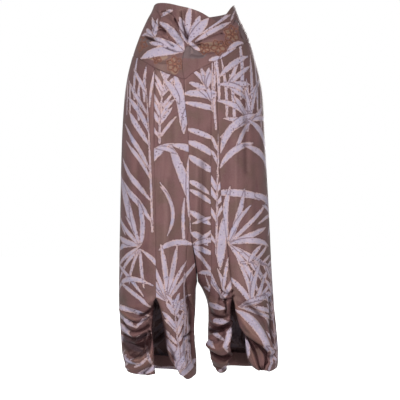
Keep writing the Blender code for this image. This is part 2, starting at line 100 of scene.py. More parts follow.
# drop, centre front seam, centre back seam
CENTRE = [
    (-25, -2, -2), (0, -3, -2), (100, -18, -1), (190, -31, 0), (252, -29, 0), (334, -21, 1),
    (424, -18, 1), (504, -17, 2), (589, -17, 3), (634, -9, 3), (686, -1, 4), (740, 4, 4),
]
# drop, right leg's inseam, left leg's inseam
INSEAMS = [
    (740, 4, 4), (764, 0, 18), (792, -0.5, 29), (820, -1, 33), (847, -3, 33), (874, -4, 32),
    (902, -3, 32), (930, 0, 36), (957, 2, 42), (984, 2, 51), (1012, 0, 60),
]
# x, drop of the waist edge and of the yoke's lower edge, front and back
WAIST_RIGHT = [
    (-126, -7), (-106, -17), (-80, -13), (-42, -2), (-16, 5), (11, 15), (35, 29), (56, 42),
    (70, 52),
]
WAIST_LEFT = [
    (-12, 96), (-8, 92), (22, 68), (56, 42), (81, 17), (98, -8), (106, -16), (114, -8),
]
WAIST_BACK = [
    (-124, -7), (-60, 1), (-5, 2), (60, -2), (114, -8),
]
YOKE_FRONT = [
    (-174, 121), (-160, 132), (-133, 151), (-108, 167), (-79, 181), (-50, 191), (-31, 197),
    (-10, 182), (11, 170), (45, 152), (75, 137), (110, 111), (142, 88), (152, 80),
]
YOKE_BACK = [
    (-174, 121), (-90, 140), (-5, 146), (80, 120), (152, 80),
]
# drop, x of the line where the two front yoke pieces meet below the crossing
YOKE_MEET = [
    (92, -8), (111, -26), (135, -34), (162, -36), (200, -31),
]
# drop, x of the seams on the front, of the gussets and of the slit edges
SEAMS = {
    RIGHT: [
        (60, -111), (366, -111), (464, -110), (615, -107), (775, -106),
    ],
    LEFT: [
        (60, 50), (252, 56), (319, 59), (440, 63), (525, 69), (570, 75), (650, 85), (748, 95),
        (775, 97),
    ],
}
GUSSETS = {
    RIGHT: [
        (590, -19.2), (628, -22), (664, -25), (726, -25.5), (765, -21), (806, -8), (822, -3),
    ],
    LEFT: [
        (60, 43), (279, 41), (490, 40), (693, 40), (734, 39), (758, 37), (775, 34), (790, 30.6),
    ],
}
SLITS = {
    "outer": {
        RIGHT: [
            (775, -106), (790, -113), (828, -115), (862, -118), (894, -115), (921, -112),
            (946, -112), (984, -109), (1010, -106),
        ],
        LEFT: [
            (775, 97), (790, 103), (817, 108), (846, 114), (873, 129), (892, 152), (910, 177),
            (936, 196), (949, 195), (965, 188), (981, 183), (1010, 178),
        ],
    },
    "inner": {
        RIGHT: [
            (775, -106), (801, -96), (830, -90), (862, -83), (889, -79), (910, -77), (944, -67),
            (966, -54), (984, -43), (1010, -30),
        ],
        LEFT: [
            (775, 97), (788, 93), (820, 91), (846, 93), (871, 96), (914, 93), (950, 86),
            (967, 83), (1010, 80),
        ],
    },
}
# drop, x of the free edge of the turned cloth in the left slit
TURN_EDGE = [
    (866, 127), (878, 131), (910, 133), (932, 135), (951, 141), (971, 155), (985, 166),
]
# x, drop of its lowest line
TURN_HEM = [
    (135, 944), (141, 953), (155, 967), (172, 976), (200, 972),
]
TURN_HIDDEN = 9.0  # how far it goes on behind the slit edge
TURN_DEPTH = 8.7  # how far it lies inside the outer cloth
TURN_PLEAT = 4.2  # height of its pleats
TURN_LIP = 6  # how far its lowest edge curls inwards
# x, drop of the lowest line of the hems; the outermost rows are the sides
HEMS = {
    "front": {
        RIGHT: [
            (-190, 985), (-158, 986), (-109, 989), (-70, 992), (-38, 995), (-14, 1003), (0, 998),
        ],
        LEFT: [
            (45, 975), (58, 986), (83, 967), (94, 964), (141, 956), (155, 971), (180, 982),
            (214, 981), (225, 979),
        ],
    },
    "back": {
        RIGHT: [
            (-190, 985), (-150, 990), (-100, 993), (-50, 995), (0, 998),
        ],
        LEFT: [
            (45, 975), (90, 984), (140, 986), (190, 984), (225, 979),
        ],
    },
}
# The largest folds: three points (x, drop) that the fold passes, its height (a
# trough is negative) and half its width
FOLDS = {
    RIGHT: [
        (-199, 795, -156, 823, -116, 801, -5, 9), (-198, 812, -150, 843, -118, 816, 4, 8),
        (-199, 843, -166, 861, -121, 838, -6, 8), (-198, 869, -164, 888, -119, 853, -5, 8),
        (-192, 902, -160, 915, -127, 886, -13, 16), (-180, 932, -148, 950, -114, 924, 6, 13),
        (-84, 866, -79, 900, -64, 938, -6, 9), (-52, 905, -44, 935, -25, 965, 4, 12),
        (-25, 745, -22, 790, -12, 850, -4, 8), (-150, 250, -152, 480, -150, 720, -3, 15),
        (-60, 300, -62, 500, -58, 720, -3, 15),
    ],
    LEFT: [
        (32, 812, 60, 828, 92, 800, -5, 8), (36, 848, 64, 866, 94, 846, -6, 8),
        (40, 896, 66, 910, 92, 892, 7, 14), (42, 938, 68, 948, 88, 930, -6, 9),
        (104, 800, 154, 848, 192, 918, 8, 17), (118, 780, 176, 835, 212, 905, -5, 15),
        (165, 930, 204, 945, 216, 975, -4, 12), (132, 240, 134, 460, 130, 700, -3, 16),
        (20, 420, 16, 560, 12, 700, -5, 10),
    ],
}
YOKE_FOLDS = {
    RIGHT: [
        (-90, 22, -52, 44, -26, 96, -6, 8), (-118, 22, -100, 58, -60, 56, -5, 8),
        (-143, 78, -112, 80, -76, 62, -5, 8), (-104, 84, -66, 86, -30, 106, 5, 8),
        (-138, 104, -82, 110, -32, 122, -4, 8), (-42, 40, -30, 70, -16, 90, -5, 6),
    ],
    LEFT: [
        (106, 18, 52, 72, -4, 97, -3, 8), (132, 74, 64, 96, -2, 104, -4, 9),
    ],
}
# Smaller folds in the same columns: the swags beside the right slit, the hem
# that is drawn up beside the left one, and long soft ones down the legs
FINE_FOLDS = {
    RIGHT: [
        (-195, 800, -155, 800, -115, 785, 4, 9), (-150, 824, -132, 818, -112, 800, -9, 4),
        (-200, 815, -165, 832, -125, 825, 4, 7), (-185, 838, -150, 842, -113, 815, -10, 4),
        (-200, 852, -170, 870, -128, 852, -7, 3.5), (-195, 842, -165, 858, -130, 840, 5, 5),
        (-200, 866, -165, 880, -122, 862, 5, 5), (-200, 884, -166, 893, -126, 868, -9, 4),
        (-198, 898, -172, 904, -150, 896, 4, 3.5), (-184, 908, -160, 914, -138, 908, -12, 12),
        (-176, 932, -160, 934, -148, 924, -10, 9), (-130, 872, -140, 905, -158, 945, 9, 4),
        (-124, 868, -124, 900, -132, 935, -6, 3.5), (-118, 872, -116, 905, -120, 940, 5, 4),
        (-186, 946, -164, 951, -136, 932, 7, 5), (-186, 972, -155, 968, -124, 945, 5, 8),
        (-165, 988, -135, 974, -116, 950, -7, 4), (-85, 825, -78, 875, -55, 945, -5, 5),
        (-42, 860, -38, 915, -30, 970, 4, 6), (-68, 875, -60, 915, -48, 960, -6, 5),
        (-18, 780, -10, 835, -15, 900, -5, 5), (-30, 885, -15, 880, 0, 872, -6, 4),
        (-10, 900, -8, 935, -2, 965, -4, 4), (-132, 225, -135, 385, -138, 545, -2, 9),
        (-76, 465, -74, 600, -74, 730, -2, 8), (-156, 595, -153, 690, -156, 755, 2, 8),
        (-95, 280, -92, 385, -95, 490, -2, 7), (-168, 305, -170, 410, -172, 515, 2, 8),
    ],
    LEFT: [
        (62, 752, 80, 766, 98, 758, -7, 3), (70, 768, 80, 775, 92, 774, 5, 3),
        (68, 782, 84, 782, 100, 772, -8, 3), (80, 748, 88, 758, 94, 772, 5, 3),
        (74, 784, 78, 800, 74, 820, -9, 3.5), (84, 784, 86, 800, 84, 815, 5, 3.5),
        (92, 784, 93, 800, 91, 816, -5, 3), (53, 748, 60, 770, 58, 798, -5, 4),
        (38, 784, 53, 794, 70, 787, 5, 6), (34, 826, 60, 832, 88, 822, -6, 4),
        (34, 844, 60, 848, 90, 838, 4, 5), (32, 876, 60, 864, 92, 842, -13, 5),
        (30, 890, 42, 900, 56, 894, -8, 5), (78, 862, 84, 885, 76, 908, 5, 5),
        (38, 912, 62, 918, 90, 904, 8, 9), (40, 932, 66, 940, 93, 930, -11, 4),
        (42, 948, 68, 956, 90, 946, 6, 4), (44, 966, 67, 972, 88, 960, -5, 4),
        (110, 822, 122, 848, 138, 870, -4, 4), (104, 812, 134, 858, 176, 900, 6, 8),
        (120, 806, 154, 842, 192, 910, 5, 8), (112, 790, 145, 800, 175, 825, -3, 7),
        (175, 680, 186, 755, 196, 860, -3, 8), (203, 782, 208, 862, 210, 920, -7, 5),
        (190, 830, 196, 875, 202, 915, 4, 5), (180, 920, 196, 936, 215, 936, -5, 5),
        (186, 946, 200, 957, 218, 949, 4, 5), (157, 280, 160, 440, 165, 595, -2, 9),
        (104, 385, 104, 515, 106, 625, 2, 8), (11, 385, 11, 515, 8, 650, -2, 8),
        (130, 225, 133, 330, 136, 440, -2, 8), (85, 595, 88, 663, 93, 742, -3, 5),
    ],
}
# and the gathers of the yoke, most of which run to the crossing
FINE_YOKE_FOLDS = {
    RIGHT: [
        (-95, 10, -72, 14, -55, 38, -4, 2.5), (-58, 32, -44, 58, -22, 90, -5, 2.5),
        (-88, 26, -72, 36, -58, 58, 3.5, 4), (-58, 58, -46, 76, -30, 98, -4, 2.5),
        (-112, 30, -102, 50, -80, 60, -4, 2.5), (-128, 28, -120, 52, -104, 74, -3.5, 2.5),
        (-110, 66, -90, 62, -70, 86, -4, 2.5), (-70, 86, -56, 102, -40, 112, -4, 2.5),
        (-92, 76, -78, 95, -60, 108, -4, 2.5), (-76, 72, -64, 92, -48, 108, 3, 4),
        (-145, 68, -128, 84, -106, 90, -4, 3), (-124, 84, -114, 92, -100, 96, -3, 2.5),
        (-78, 112, -60, 120, -36, 120, -3, 2.5), (-125, 5, -108, 40, -112, 66, 3, 4),
        (-108, 4, -100, 20, -98, 40, -3, 2.5), (-95, 38, -82, 62, -64, 88, 4, 5),
        (-30, 10, -28, 45, -20, 80, -2.5, 2.5), (-2, 14, -4, 50, -8, 84, -2, 3),
        (-112, 146, -85, 152, -56, 148, -2, 3), (-62, 24, -40, 62, -22, 100, 4, 5),
        (-84, 50, -64, 78, -36, 106, 4, 4.5), (-40, 14, -34, 50, -20, 92, -4, 2.5),
        (-132, 60, -112, 74, -88, 78, 4, 5),
    ],
    LEFT: [
        (112, 0, 108, 30, 96, 55, -4, 2.5), (96, 55, 88, 66, 70, 74, -3, 2.5),
        (74, 70, 40, 84, 2, 98, -3, 3), (20, 92, 60, 62, 100, 25, 2, 6),
        (5, 108, 45, 118, 100, 105, 2, 6), (4, 104, 40, 106, 74, 98, -2, 3),
        (-12, 133, 8, 136, 20, 133, -3, 2.5), (115, 35, 122, 65, 135, 90, -3, 2.5),
        (128, 50, 134, 70, 142, 86, 2, 4), (-22, 106, -8, 109, 10, 104, -3, 2.5),
        (10, 126, 34, 128, 60, 124, -3, 2.5), (104, 46, 92, 60, 78, 70, 4, 4),
        (118, 12, 116, 34, 110, 56, 4, 4),
    ],
}
# Where hardly any light reaches: how dark it is stands in place of the height
SHADES = {
    RIGHT: [
        (-182, 906, -160, 914, -140, 906, 10, 13), (-172, 930, -158, 932, -148, 924, 9, 9),
        (-142, 880, -150, 900, -154, 920, 7, 7), (-132, 838, -124, 832, -114, 816, 5, 6),
        (-186, 878, -160, 884, -132, 872, 4, 4),
    ],
    LEFT: [
        (40, 870, 62, 864, 90, 848, 7, 7), (64, 896, 72, 880, 90, 872, 5, 5),
        (40, 934, 64, 940, 90, 930, 4, 4), (72, 770, 80, 776, 90, 770, 7, 4),
        (62, 782, 72, 790, 80, 786, 5, 4), (106, 822, 118, 846, 134, 866, 6, 5),
    ],
}
# The soft folds of the hidden back
BACK_FOLDS = {
    RIGHT: [
        (-150, 250, -158, 480, -148, 720, -3, 14), (-52, 280, -60, 470, -66, 690, -3, 13),
        (-182, 330, -186, 520, -178, 700, 2.5, 12), (-96, 420, -88, 600, -100, 760, -2.5, 12),
        (-194, 800, -150, 838, -104, 812, -5, 9), (-196, 852, -140, 884, -96, 858, 5, 11),
        (-192, 898, -142, 922, -92, 902, -7, 12), (-92, 830, -50, 862, -14, 838, -5, 9),
        (-88, 884, -46, 918, -10, 896, 5, 11), (-20, 560, -24, 660, -20, 760, -3, 9),
    ],
    LEFT: [
        (140, 250, 150, 460, 146, 700, -3, 14), (50, 280, 56, 460, 60, 690, -3, 12),
        (176, 330, 184, 520, 186, 700, 2.5, 12), (96, 430, 92, 590, 104, 750, -2.5, 12),
        (206, 806, 160, 842, 112, 818, -5, 9), (210, 858, 158, 890, 108, 866, 5, 11),
        (212, 902, 164, 928, 116, 906, -6, 12), (104, 834, 76, 860, 44, 842, -5, 9),
        (108, 890, 82, 918, 52, 900, 5, 11), (22, 560, 26, 660, 24, 760, -3, 9),
    ],
}


def curve(table, column=1):
    """A smooth curve through one column of a table, against the first."""
    x = np.array([row[0] for row in table], float)
    y = np.array([row[column] for row in table], float)
    step = np.diff(x)
    rise = np.diff(y) / step
    slope = np.zeros(len(x))
    same_way = rise[:-1] * rise[1:] > 0
    total = np.where(same_way, rise[:-1] + rise[1:], 1)
    slope[1:-1] = np.where(same_way, 2 * rise[:-1] * rise[1:] / total, 0)
    slope[0] = rise[0]
    slope[-1] = rise[-1]

    def value(at):
        at = np.clip(np.asarray(at, float), x[0], x[-1])
        i = np.clip(np.searchsorted(x, at, side="right") - 1, 0, len(x) - 2)
        t = (at - x[i]) / step[i]
        ends = (2 * t**3 - 3 * t**2 + 1) * y[i] + (3 * t**2 - 2 * t**3) * y[i + 1]
        bend = (t**3 - 2 * t**2 + t) * slope[i] + (t**3 - t**2) * slope[i + 1]
        return ends + bend * step[i]

    return value


SIDE = {RIGHT: curve(SIDES, 1), LEFT: curve(SIDES, 2)}
AXIS = {RIGHT: curve(AXES, 1), LEFT: curve(AXES, 2)}
INSEAM = {RIGHT: curve(INSEAMS, 1), LEFT: curve(INSEAMS, 2)}
DEPTH = {"front": curve(DEPTHS, 1), "back": curve(DEPTHS, 2)}
MIDDLE = {"front": curve(CENTRE, 1), "back": curve(CENTRE, 2)}


def ramp(value, start, end):
    """0 up to the start, 1 from the end on, and smooth between."""
    t = np.clip((value - start) / (end - start), 0, 1)
    return t * t * (3 - 2 * t)


def bell(off, width):
    """1 on a line, and less with the distance from it."""
    return np.exp(-((off / width) ** 2))


# --- the form that the cloth lies on ---


def section(leg, drop, face):
    """Axis, side, inner edge, the inner part's angle and the depth at a drop."""
    axis = AXIS[leg](drop)
    open_share = np.clip((CROTCH - drop) / RISE, 0, 1)
    angle = np.arccos(np.sqrt(open_share * (2 - open_share)))
    angle = np.maximum(angle, 1e-3)
    depth = DEPTH[face](drop)
    inner = np.where(drop < CROTCH, MIDDLE[face](drop), INSEAM[leg](drop))
    # the two legs' cloth stands apart where it turns away from the front
    run = np.abs(inner - axis) / np.sin(angle) * np.cos(angle)
    slope = depth * np.sin(angle) / np.maximum(run, 1e-6)
    inner = inner + leg * (CLOTH / 2 + LEG_GAP) * slope / np.hypot(slope, 1)
    return axis, SIDE[leg](drop), inner, angle, depth


def quarter(leg, q, drop, face):
    """The quarter of an ellipse that q lies on: how far round, reach sideways,
    axis and depth."""
    axis, side, inner, angle, depth = section(leg, drop, face)
    outer = q >= 0
    turn = np.where(outer, q * np.pi / 2, -q * angle)
    reach = np.where(outer, side - axis, (inner - axis) / np.sin(angle))
    return turn, reach, axis, depth


def around(leg, q, drop, face):
    """The place at q, and the way out of the cloth there."""
    turn, reach, axis, depth = quarter(leg, q, drop, face)
    x = axis + reach * np.sin(turn)
    sign = -1 if face == "front" else 1
    y = sign * depth * np.cos(turn)
    nx = depth * np.sin(turn) * np.sign(reach)
    ny = sign * np.abs(reach) * np.cos(turn)
    length = np.hypot(nx, ny)
    return x, y, nx / length, ny / length


def cloth_x(leg, q, drop, face):
    """How far round the cloth a place is, so that the print isn't stretched."""
    turn, reach, axis, depth = quarter(leg, q, drop, face)
    total = 0
    parts = 16
    for k in range(parts):
        part = (k + 0.5) / parts * turn
        total = total + np.hypot(reach * np.cos(part), depth * np.sin(part))
    return axis + np.sign(reach) * total * turn / parts


def q_at(leg, x, drop, face="front"):
    """The q of a place."""
    axis, side, inner, angle, _ = section(leg, drop, face)
    out = (x - axis) * leg
    outer = np.arcsin(np.clip(out / np.abs(side - axis), 0, 1)) / (np.pi / 2)
    share = np.clip(-out / np.maximum(np.abs(inner - axis), 1e-6), 0, 1)
    return np.where(out >= 0, outer, -np.arcsin(share * np.sin(angle)) / angle)


def body_form(x, drop, face):
    """The form above the crotch at x, over both legs: y, the way out of the
    cloth, and how far round it is from the middle."""
    found = []
    for leg in (RIGHT, LEFT):
        q = q_at(leg, x, drop, face)
        _, y, nx, ny = around(leg, q, drop, face)
        place = cloth_x(leg, q, drop, face) - cloth_x(leg, -1 + 0 * q, drop, face)
        found.append(np.stack([y, nx, ny, place], -1))
    chosen = np.where((x < MIDDLE[face](drop))[..., None], *found)
    return np.moveaxis(chosen, -1, 0)


def raised(x, y, drop, nx, ny, height):
    """The points at a height over the form, and their normals."""
    points = np.stack([x + nx * height, y + ny * height, -drop], -1)
    return points, np.stack([nx, ny, 0 * nx], -1)


# --- folds ---


def quadratic(row, count):
    """Points along the curve through a row's three points."""
    x1, d1, x2, d2, x3, d3 = row[:6]
    t = np.linspace(0, 1, count)
    cx = 2 * x2 - (x1 + x3) / 2
    cd = 2 * d2 - (d1 + d3) / 2
    x = (1 - t) ** 2 * x1 + 2 * t * (1 - t) * cx + t**2 * x3
    d = (1 - t) ** 2 * d1 + 2 * t * (1 - t) * cd + t**2 * d3
    return x, d, t


def around_line(x, drop, px, pd, reach):
    """Which places may lie within reach of a bent line."""
    near = (x > px.min() - reach) & (x < px.max() + reach)
    return near & (drop > pd.min() - reach) & (drop < pd.max() + reach)


def off_curve(x, drop, px, pd, radius=None):
    """The distance from a bent line, less its radius where it has one."""
    best = np.full(x.shape, 1e9)
    for k in range(len(px) - 1):
        ux, ud = px[k + 1] - px[k], pd[k + 1] - pd[k]
        along = ((x - px[k]) * ux + (drop - pd[k]) * ud) / (ux * ux + ud * ud + 1e-9)
        along = np.clip(along, 0, 1)
        off = np.hypot(x - px[k] - along * ux, drop - pd[k] - along * ud)
        if radius is not None:
            off = off - (radius[k] + (radius[k + 1] - radius[k]) * along)
        best = np.minimum(best, off)
    return best


def fold_height(folds, x, drop):
    """The sum of the folds at a place, as a height."""
    height = np.zeros(x.shape)
    for row in folds:
        size, width = row[6:]
        px, pd, _ = quadratic(row, 13)
        near = around_line(x, drop, px, pd, 3 * width)
        if near.any():
            height[near] += size * bell(off_curve(x[near], drop[near], px, pd), width)
    return height


def hem_wave(leg, x, drop, face):
    """Uneven waves that grow towards the hem."""
    shift = 0.7 if face == "front" else 2.1
    wave = np.sin(x / 17 + shift * leg) + 0.6 * np.sin(x / 9.5 + 1.3 + shift)
    return HEM_WAVE * ramp(drop, 800, 960) * wave * np.cos(x / 190)


def crumple(x, drop, seed):
    """The slight unevenness of soft cloth that hangs, as a height."""
    height = np.zeros(x.shape)
    for k in range(7):
        turn = seed * 1.7 + k * 2.4
        long, short = 95 / (1 + 0.55 * k), 34 / (1 + 0.45 * k)
        sway = 0.35 * np.sin(drop / long + turn)
        height += np.sin(x / short + sway + turn) * np.sin(drop / long + 1.9 * turn) / (1.4 + k)
    return 0.55 * height


def gathers(x, drop, size):
    """Small pleats that run out of the crossing on all sides."""
    cx, cdrop = CROSSING
    angle = np.arctan2(drop - cdrop, x - cx)
    off = np.hypot(x - cx, drop - cdrop)
    wave = np.sin(angle * 11) + 0.5 * np.sin(angle * 11 * 1.7 + 1)
    return size * wave * bell(off, 34) * ramp(off, 2, 12)


def yoke_folds(side, x, drop):
    """The folds of the yoke as a height, the large ones softer than on the stiff solid, and the
    painted shade in them, which is strongest in the fine creases."""
    large = YOKE_SOFT * fold_height(YOKE_FOLDS[side], x, drop)
    fine = fold_height(FINE_YOKE_FOLDS[side], x, drop)
    return large + fine, -YOKE_PAINTED_SHADE * large - CREASE_PAINTED_SHADE * fine


def leg_point(leg, q, drop, face, slit=None):
    """Points of a leg piece with all folds, the normals, and how deep in a fold each point lies,
    with the painted shade of SHADES added to that depth. slit is the q of the slit's edge beside it."""
    x, y, nx, ny = around(leg, q, drop, face)
    calm = ramp(np.minimum(1 - q, 1 + q), 0, 0.2)  # its seams lie flat
    if face == "front":
        height = fold_height(FOLDS[leg] + FINE_FOLDS[leg], x, drop) * calm
    else:
        deep, out, width = BACK_DIP
        height = -deep * bell(x - AXIS[leg](drop) - out * leg, width)
        height = height * ramp(drop, 200, 330) * ramp(-drop, -880, -700)
        height = height + fold_height(BACK_FOLDS[leg], x, drop) * calm
    height = height + hem_wave(leg, x, drop, face) * calm
    height = height + crumple(x, drop, leg + (2 if face == "back" else 0)) * calm
    points, normals = raised(x, y, drop, nx, ny, height)
    depth = -height
    # painted shade deepens the darkest hollows beyond their built depth
    if face == "front":
        depth = depth + fold_height(SHADES[leg], points[..., 0], drop)
    if slit is not None:
        away = np.clip(np.abs(q - slit) * SLIT_SCALE, 0, EDGE_ROLL) / EDGE_ROLL
        roll = EDGE_ROLL * (1 - np.sqrt(1 - (1 - away) ** 2 + 1e-9))
        points[..., 1] += roll * ramp(drop, SLIT_TOP + 1, 805)
    return points, normals, depth


# --- the sheets: points, how far round the cloth they are, drop and depth ---


def shares(length, step, seam_start, seam_end):
    """Shares from 0 to 1, about a step apart and closer beside a seam."""
    close = np.array(SEAM_ROWS) / length
    parts = [np.linspace(0, 1, int(length / step) + 1)]
    if seam_start:
        parts.append(close)
    if seam_end:
        parts.append(1 - close)
    return np.unique(np.concatenate(parts))


def settled(line, x_of, drop, ease=1.0, rounds=25):
    """The drop at which each column of a sheet meets a line."""
    for _ in range(rounds):
        drop = (1 - ease) * drop + ease * line(x_of(drop))
    return drop


def sink_seams(points, normals, across, down, seams):
    """The cloth dips where it is sewn: left, right, upper and lower edge. Gives the points and the
    painted shade in the dips, as a depth."""
    length = np.linalg.norm
    width = length(np.diff(points, axis=1), axis=-1).mean(0).sum()
    height = length(np.diff(points, axis=0), axis=-1).mean(1).sum()
    off = np.full(points.shape[:2], np.inf)
    for seam, away in (
        ("left", across * width), ("right", (1 - across) * width),
        ("upper", down * height), ("lower", (1 - down) * height),
    ):
        if seam in seams:
            off = np.minimum(off, away)
    dip = bell(off, SEAM_WIDTH)
    return points - normals * (SEAM_SINK * dip)[..., None], SEAM_PAINTED_SHADE * dip


def trimmed(grid):
    """The grid with its outer points drawn back from the seam lines."""
    grid = grid.copy()
    columns = grid.swapaxes(0, 1)
    for lines in (columns, columns[::-1], grid, grid[::-1]):
        way = lines[1] - lines[0]
        length = np.linalg.norm(way, axis=-1, keepdims=True)
        lines[0] += way / np.maximum(length, 1e-6) * SEAM
    return grid


def leg_piece(leg, face, edges, lines, width, slit=None, start=None, end=None):
    """One leg piece. edges and slit give q at a drop, and lines give the drop
    of its upper and lower end at x. A fixed end has no seam and no hem."""
    seams = ("left", "right") if start else ("left", "right", "upper")
    across = shares(width, STEP[face], True, True)[None, :]

    def q_of(drop):
        return edges[0](drop) * (1 - across) + edges[1](drop) * across

    def x_of(drop):
        return around(leg, q_of(drop), drop, face)[0]

    def surface(drop):
        edge = slit(drop) if slit else None
        q = q_of(drop)
        return *leg_point(leg, q, drop, face, edge), cloth_x(leg, q, drop, face)

    first = np.full(across.shape, start or 150.0)
    if not start:
        first = settled(lines[0], x_of, first)
    last = np.full(across.shape, end or 980.0)
    if not end:
        last = settled(lambda x: lines[1](x) - HEM_CURL, x_of, last)
    down = shares(float(np.mean(last - first)), STEP[face], not start, False)[:, None]
    drop = first + (last - first) * down
    points, normals, depth, place = surface(drop)
    points, dark = sink_seams(points, normals, across, down, seams)
    # dark is the painted shade in the seam dips
    sheet = points, place, drop, depth + dark
    if not end:
        away = np.abs(q_of(last) - slit(last)) * SLIT_SCALE if slit else 99 + 0 * last
        turned = turned_under(surface, last, ramp(away, 0, 34))
        sheet = [np.concatenate(both) for both in zip(sheet, turned)]
    return trimmed(sheet[0]), *sheet[1:]


def turned_under(surface, last, free):
    """The hem, which curls inwards and goes up inside, less where it isn't free."""
    rows = []
    rise = HEM_RISE * (0.1 + 0.9 * free)
    curl = HEM_CURL * (0.12 + 0.88 * free)
    point, normal, depth, place = surface(last)
    curls = 9
    for k in range(1, curls + 1):
        angle = np.pi * k / curls
        lower = np.zeros(point.shape)
        lower[..., 2] = -curl * np.sin(angle)
        row = point - normal * (curl * (1 - np.cos(angle)))[..., None] + lower
        rows.append((row, place, last + curl * angle, depth))
    rises = 8
    for k in range(1, rises + 1):
        share = k / rises
        point, normal, depth, place = surface(last - rise * share)
        row = point - normal * (2 * curl + 3.0 * share)[..., None]
        rows.append((row, place, last + curl * np.pi + rise * share, depth))
    return [np.concatenate(kind) for kind in zip(*rows)]


def yoke_rows(x_of, top, bottom, across, start, length, step):
    """Where the columns of a yoke piece start and end, the shares of the way
    down, and each point's drop and x. start is a first guess, and length about
    how long the columns are."""
    first = settled(curve(top), x_of, start + 0 * across, 0.5)
    last = settled(curve(bottom), x_of, 150 + 0 * across)
    down = shares(length, step, False, True)[:, None]
    drop = first + (last - first) * down
    return first, last, down, drop, x_of(drop)


def yoke_right():
    """The gathered front yoke piece, from the right side past the crossing."""
    lap_line = curve([(drop, x) for x, drop in WAIST_LEFT[5:0:-1]])
    meet = curve(YOKE_MEET)

    def right_edge(drop):
        under = lap_line(drop) + LAP_UNDER
        below = meet(drop) + LAP_UNDER * (1 - ramp(drop, 90, 106))
        return np.where(drop < YOKE_MEET[0][0], under, below)

    turn = np.linspace(0, 1.25, int(300 / FINE_STEP))[None, :]
    across = (1 - np.cos(turn)) / (1 - np.cos(turn[0, -1]))  # closer at the side

    def x_of(drop):
        side = SIDE[RIGHT](drop)
        return side + (right_edge(drop) - side) * across

    first, last, down, drop, x = yoke_rows(
        x_of, WAIST_RIGHT, YOKE_FRONT, across, 0, 160, FINE_STEP
    )
    calm = ramp(x - SIDE[RIGHT](drop), 2, 22)
    calm = calm * (1 - 0.75 * ramp(x - meet(drop), -14, 4) * (drop > 85))
    # dark is the painted shade of the folds
    fold, dark = yoke_folds(RIGHT, x, drop)
    fold = fold * calm + gathers(x, drop, 1.3) * calm
    fade = ramp(drop - first, 0, 10) * ramp(last - drop, 0, 16)
    fade = fade * (1 - ramp(x - right_edge(drop), -34, -10))
    return yoke_front(x, drop, across, down, fold * fade, dark * calm * fade, "left")


def yoke_left():
    """The front yoke piece that crosses over, from the crossing to the side."""
    meet = curve(YOKE_MEET)
    turn = np.linspace(0, 1.3, int(270 / FINE_STEP))[None, :]
    across = np.sin(turn) / np.sin(turn[0, -1])  # closer at the side

    def x_of(drop):
        start = meet(drop) + 0.5
        return start + (SIDE[LEFT](drop) - start) * across

    first, last, down, drop, x = yoke_rows(
        x_of, WAIST_LEFT, YOKE_FRONT, across, 60, 110, FINE_STEP
    )
    calm = ramp(SIDE[LEFT](drop) - x, 2, 22)
    # dark is the painted shade of the folds
    fold, dark = yoke_folds(LEFT, x, drop)
    fold = fold * calm + gathers(x, drop, 1.1)
    fade = ramp(drop - first, 4, 24) * ramp(last - drop, 0, 16)
    fade = fade * ramp(x - meet(drop), 0, 8)
    lap = LAP * (1 - ramp(drop - first, 18, 44)) * (x < 78)
    lap = lap * (1 - ramp(x, 60, 78)) * ramp(last - drop, 4, 24)
    return yoke_front(x, drop, across, down, fold * fade + lap, dark * calm * fade, "right")


def yoke_front(x, drop, across, down, height, dark, side):
    """A front yoke piece at a height over the form, sewn at one side."""
    y, nx, ny, place = body_form(x, drop, "front")
    points, normals = raised(x, y, drop, nx, ny, height)
    points, dips = sink_seams(points, normals, across, down, (side, "lower"))
    # dips and dark are the painted shade in the seams and in the folds
    return trimmed(points), place + MIDDLE["front"](drop), drop, dips + dark


def yoke_back():
    """The back yoke, from side to side, with soft upright waves."""
    angle = np.linspace(-np.pi / 2, np.pi / 2, int(380 / STEP["front"]))[None, :]

    def x_of(drop):
        middle = MIDDLE["back"](drop)
        side = np.where(angle < 0, SIDE[RIGHT](drop), SIDE[LEFT](drop))
        return middle + (side - middle) * np.abs(np.sin(angle))

    first, last, down, drop, x = yoke_rows(
        x_of, WAIST_BACK, YOKE_BACK, angle, 0, 130, STEP["front"]
    )
    y, nx, ny, place = body_form(x, drop, "back")
    lift = 1.1 * np.sin(place / 13 + 0.7 * np.sin(place / 31)) * ramp(last - drop, 0, 60)
    lift = lift * ramp(np.abs(np.cos(angle)), 0, 0.35) * ramp(drop - first, 0, 25)
    points, normals = raised(x, y, drop, nx, ny, lift)
    across = angle / np.pi + 0.5
    points, dark = sink_seams(points, normals, across, down, ("left", "right", "lower"))
    # dark is the painted shade in the seams, and -lift the depth of the waves
    return trimmed(points), place, drop, dark - lift


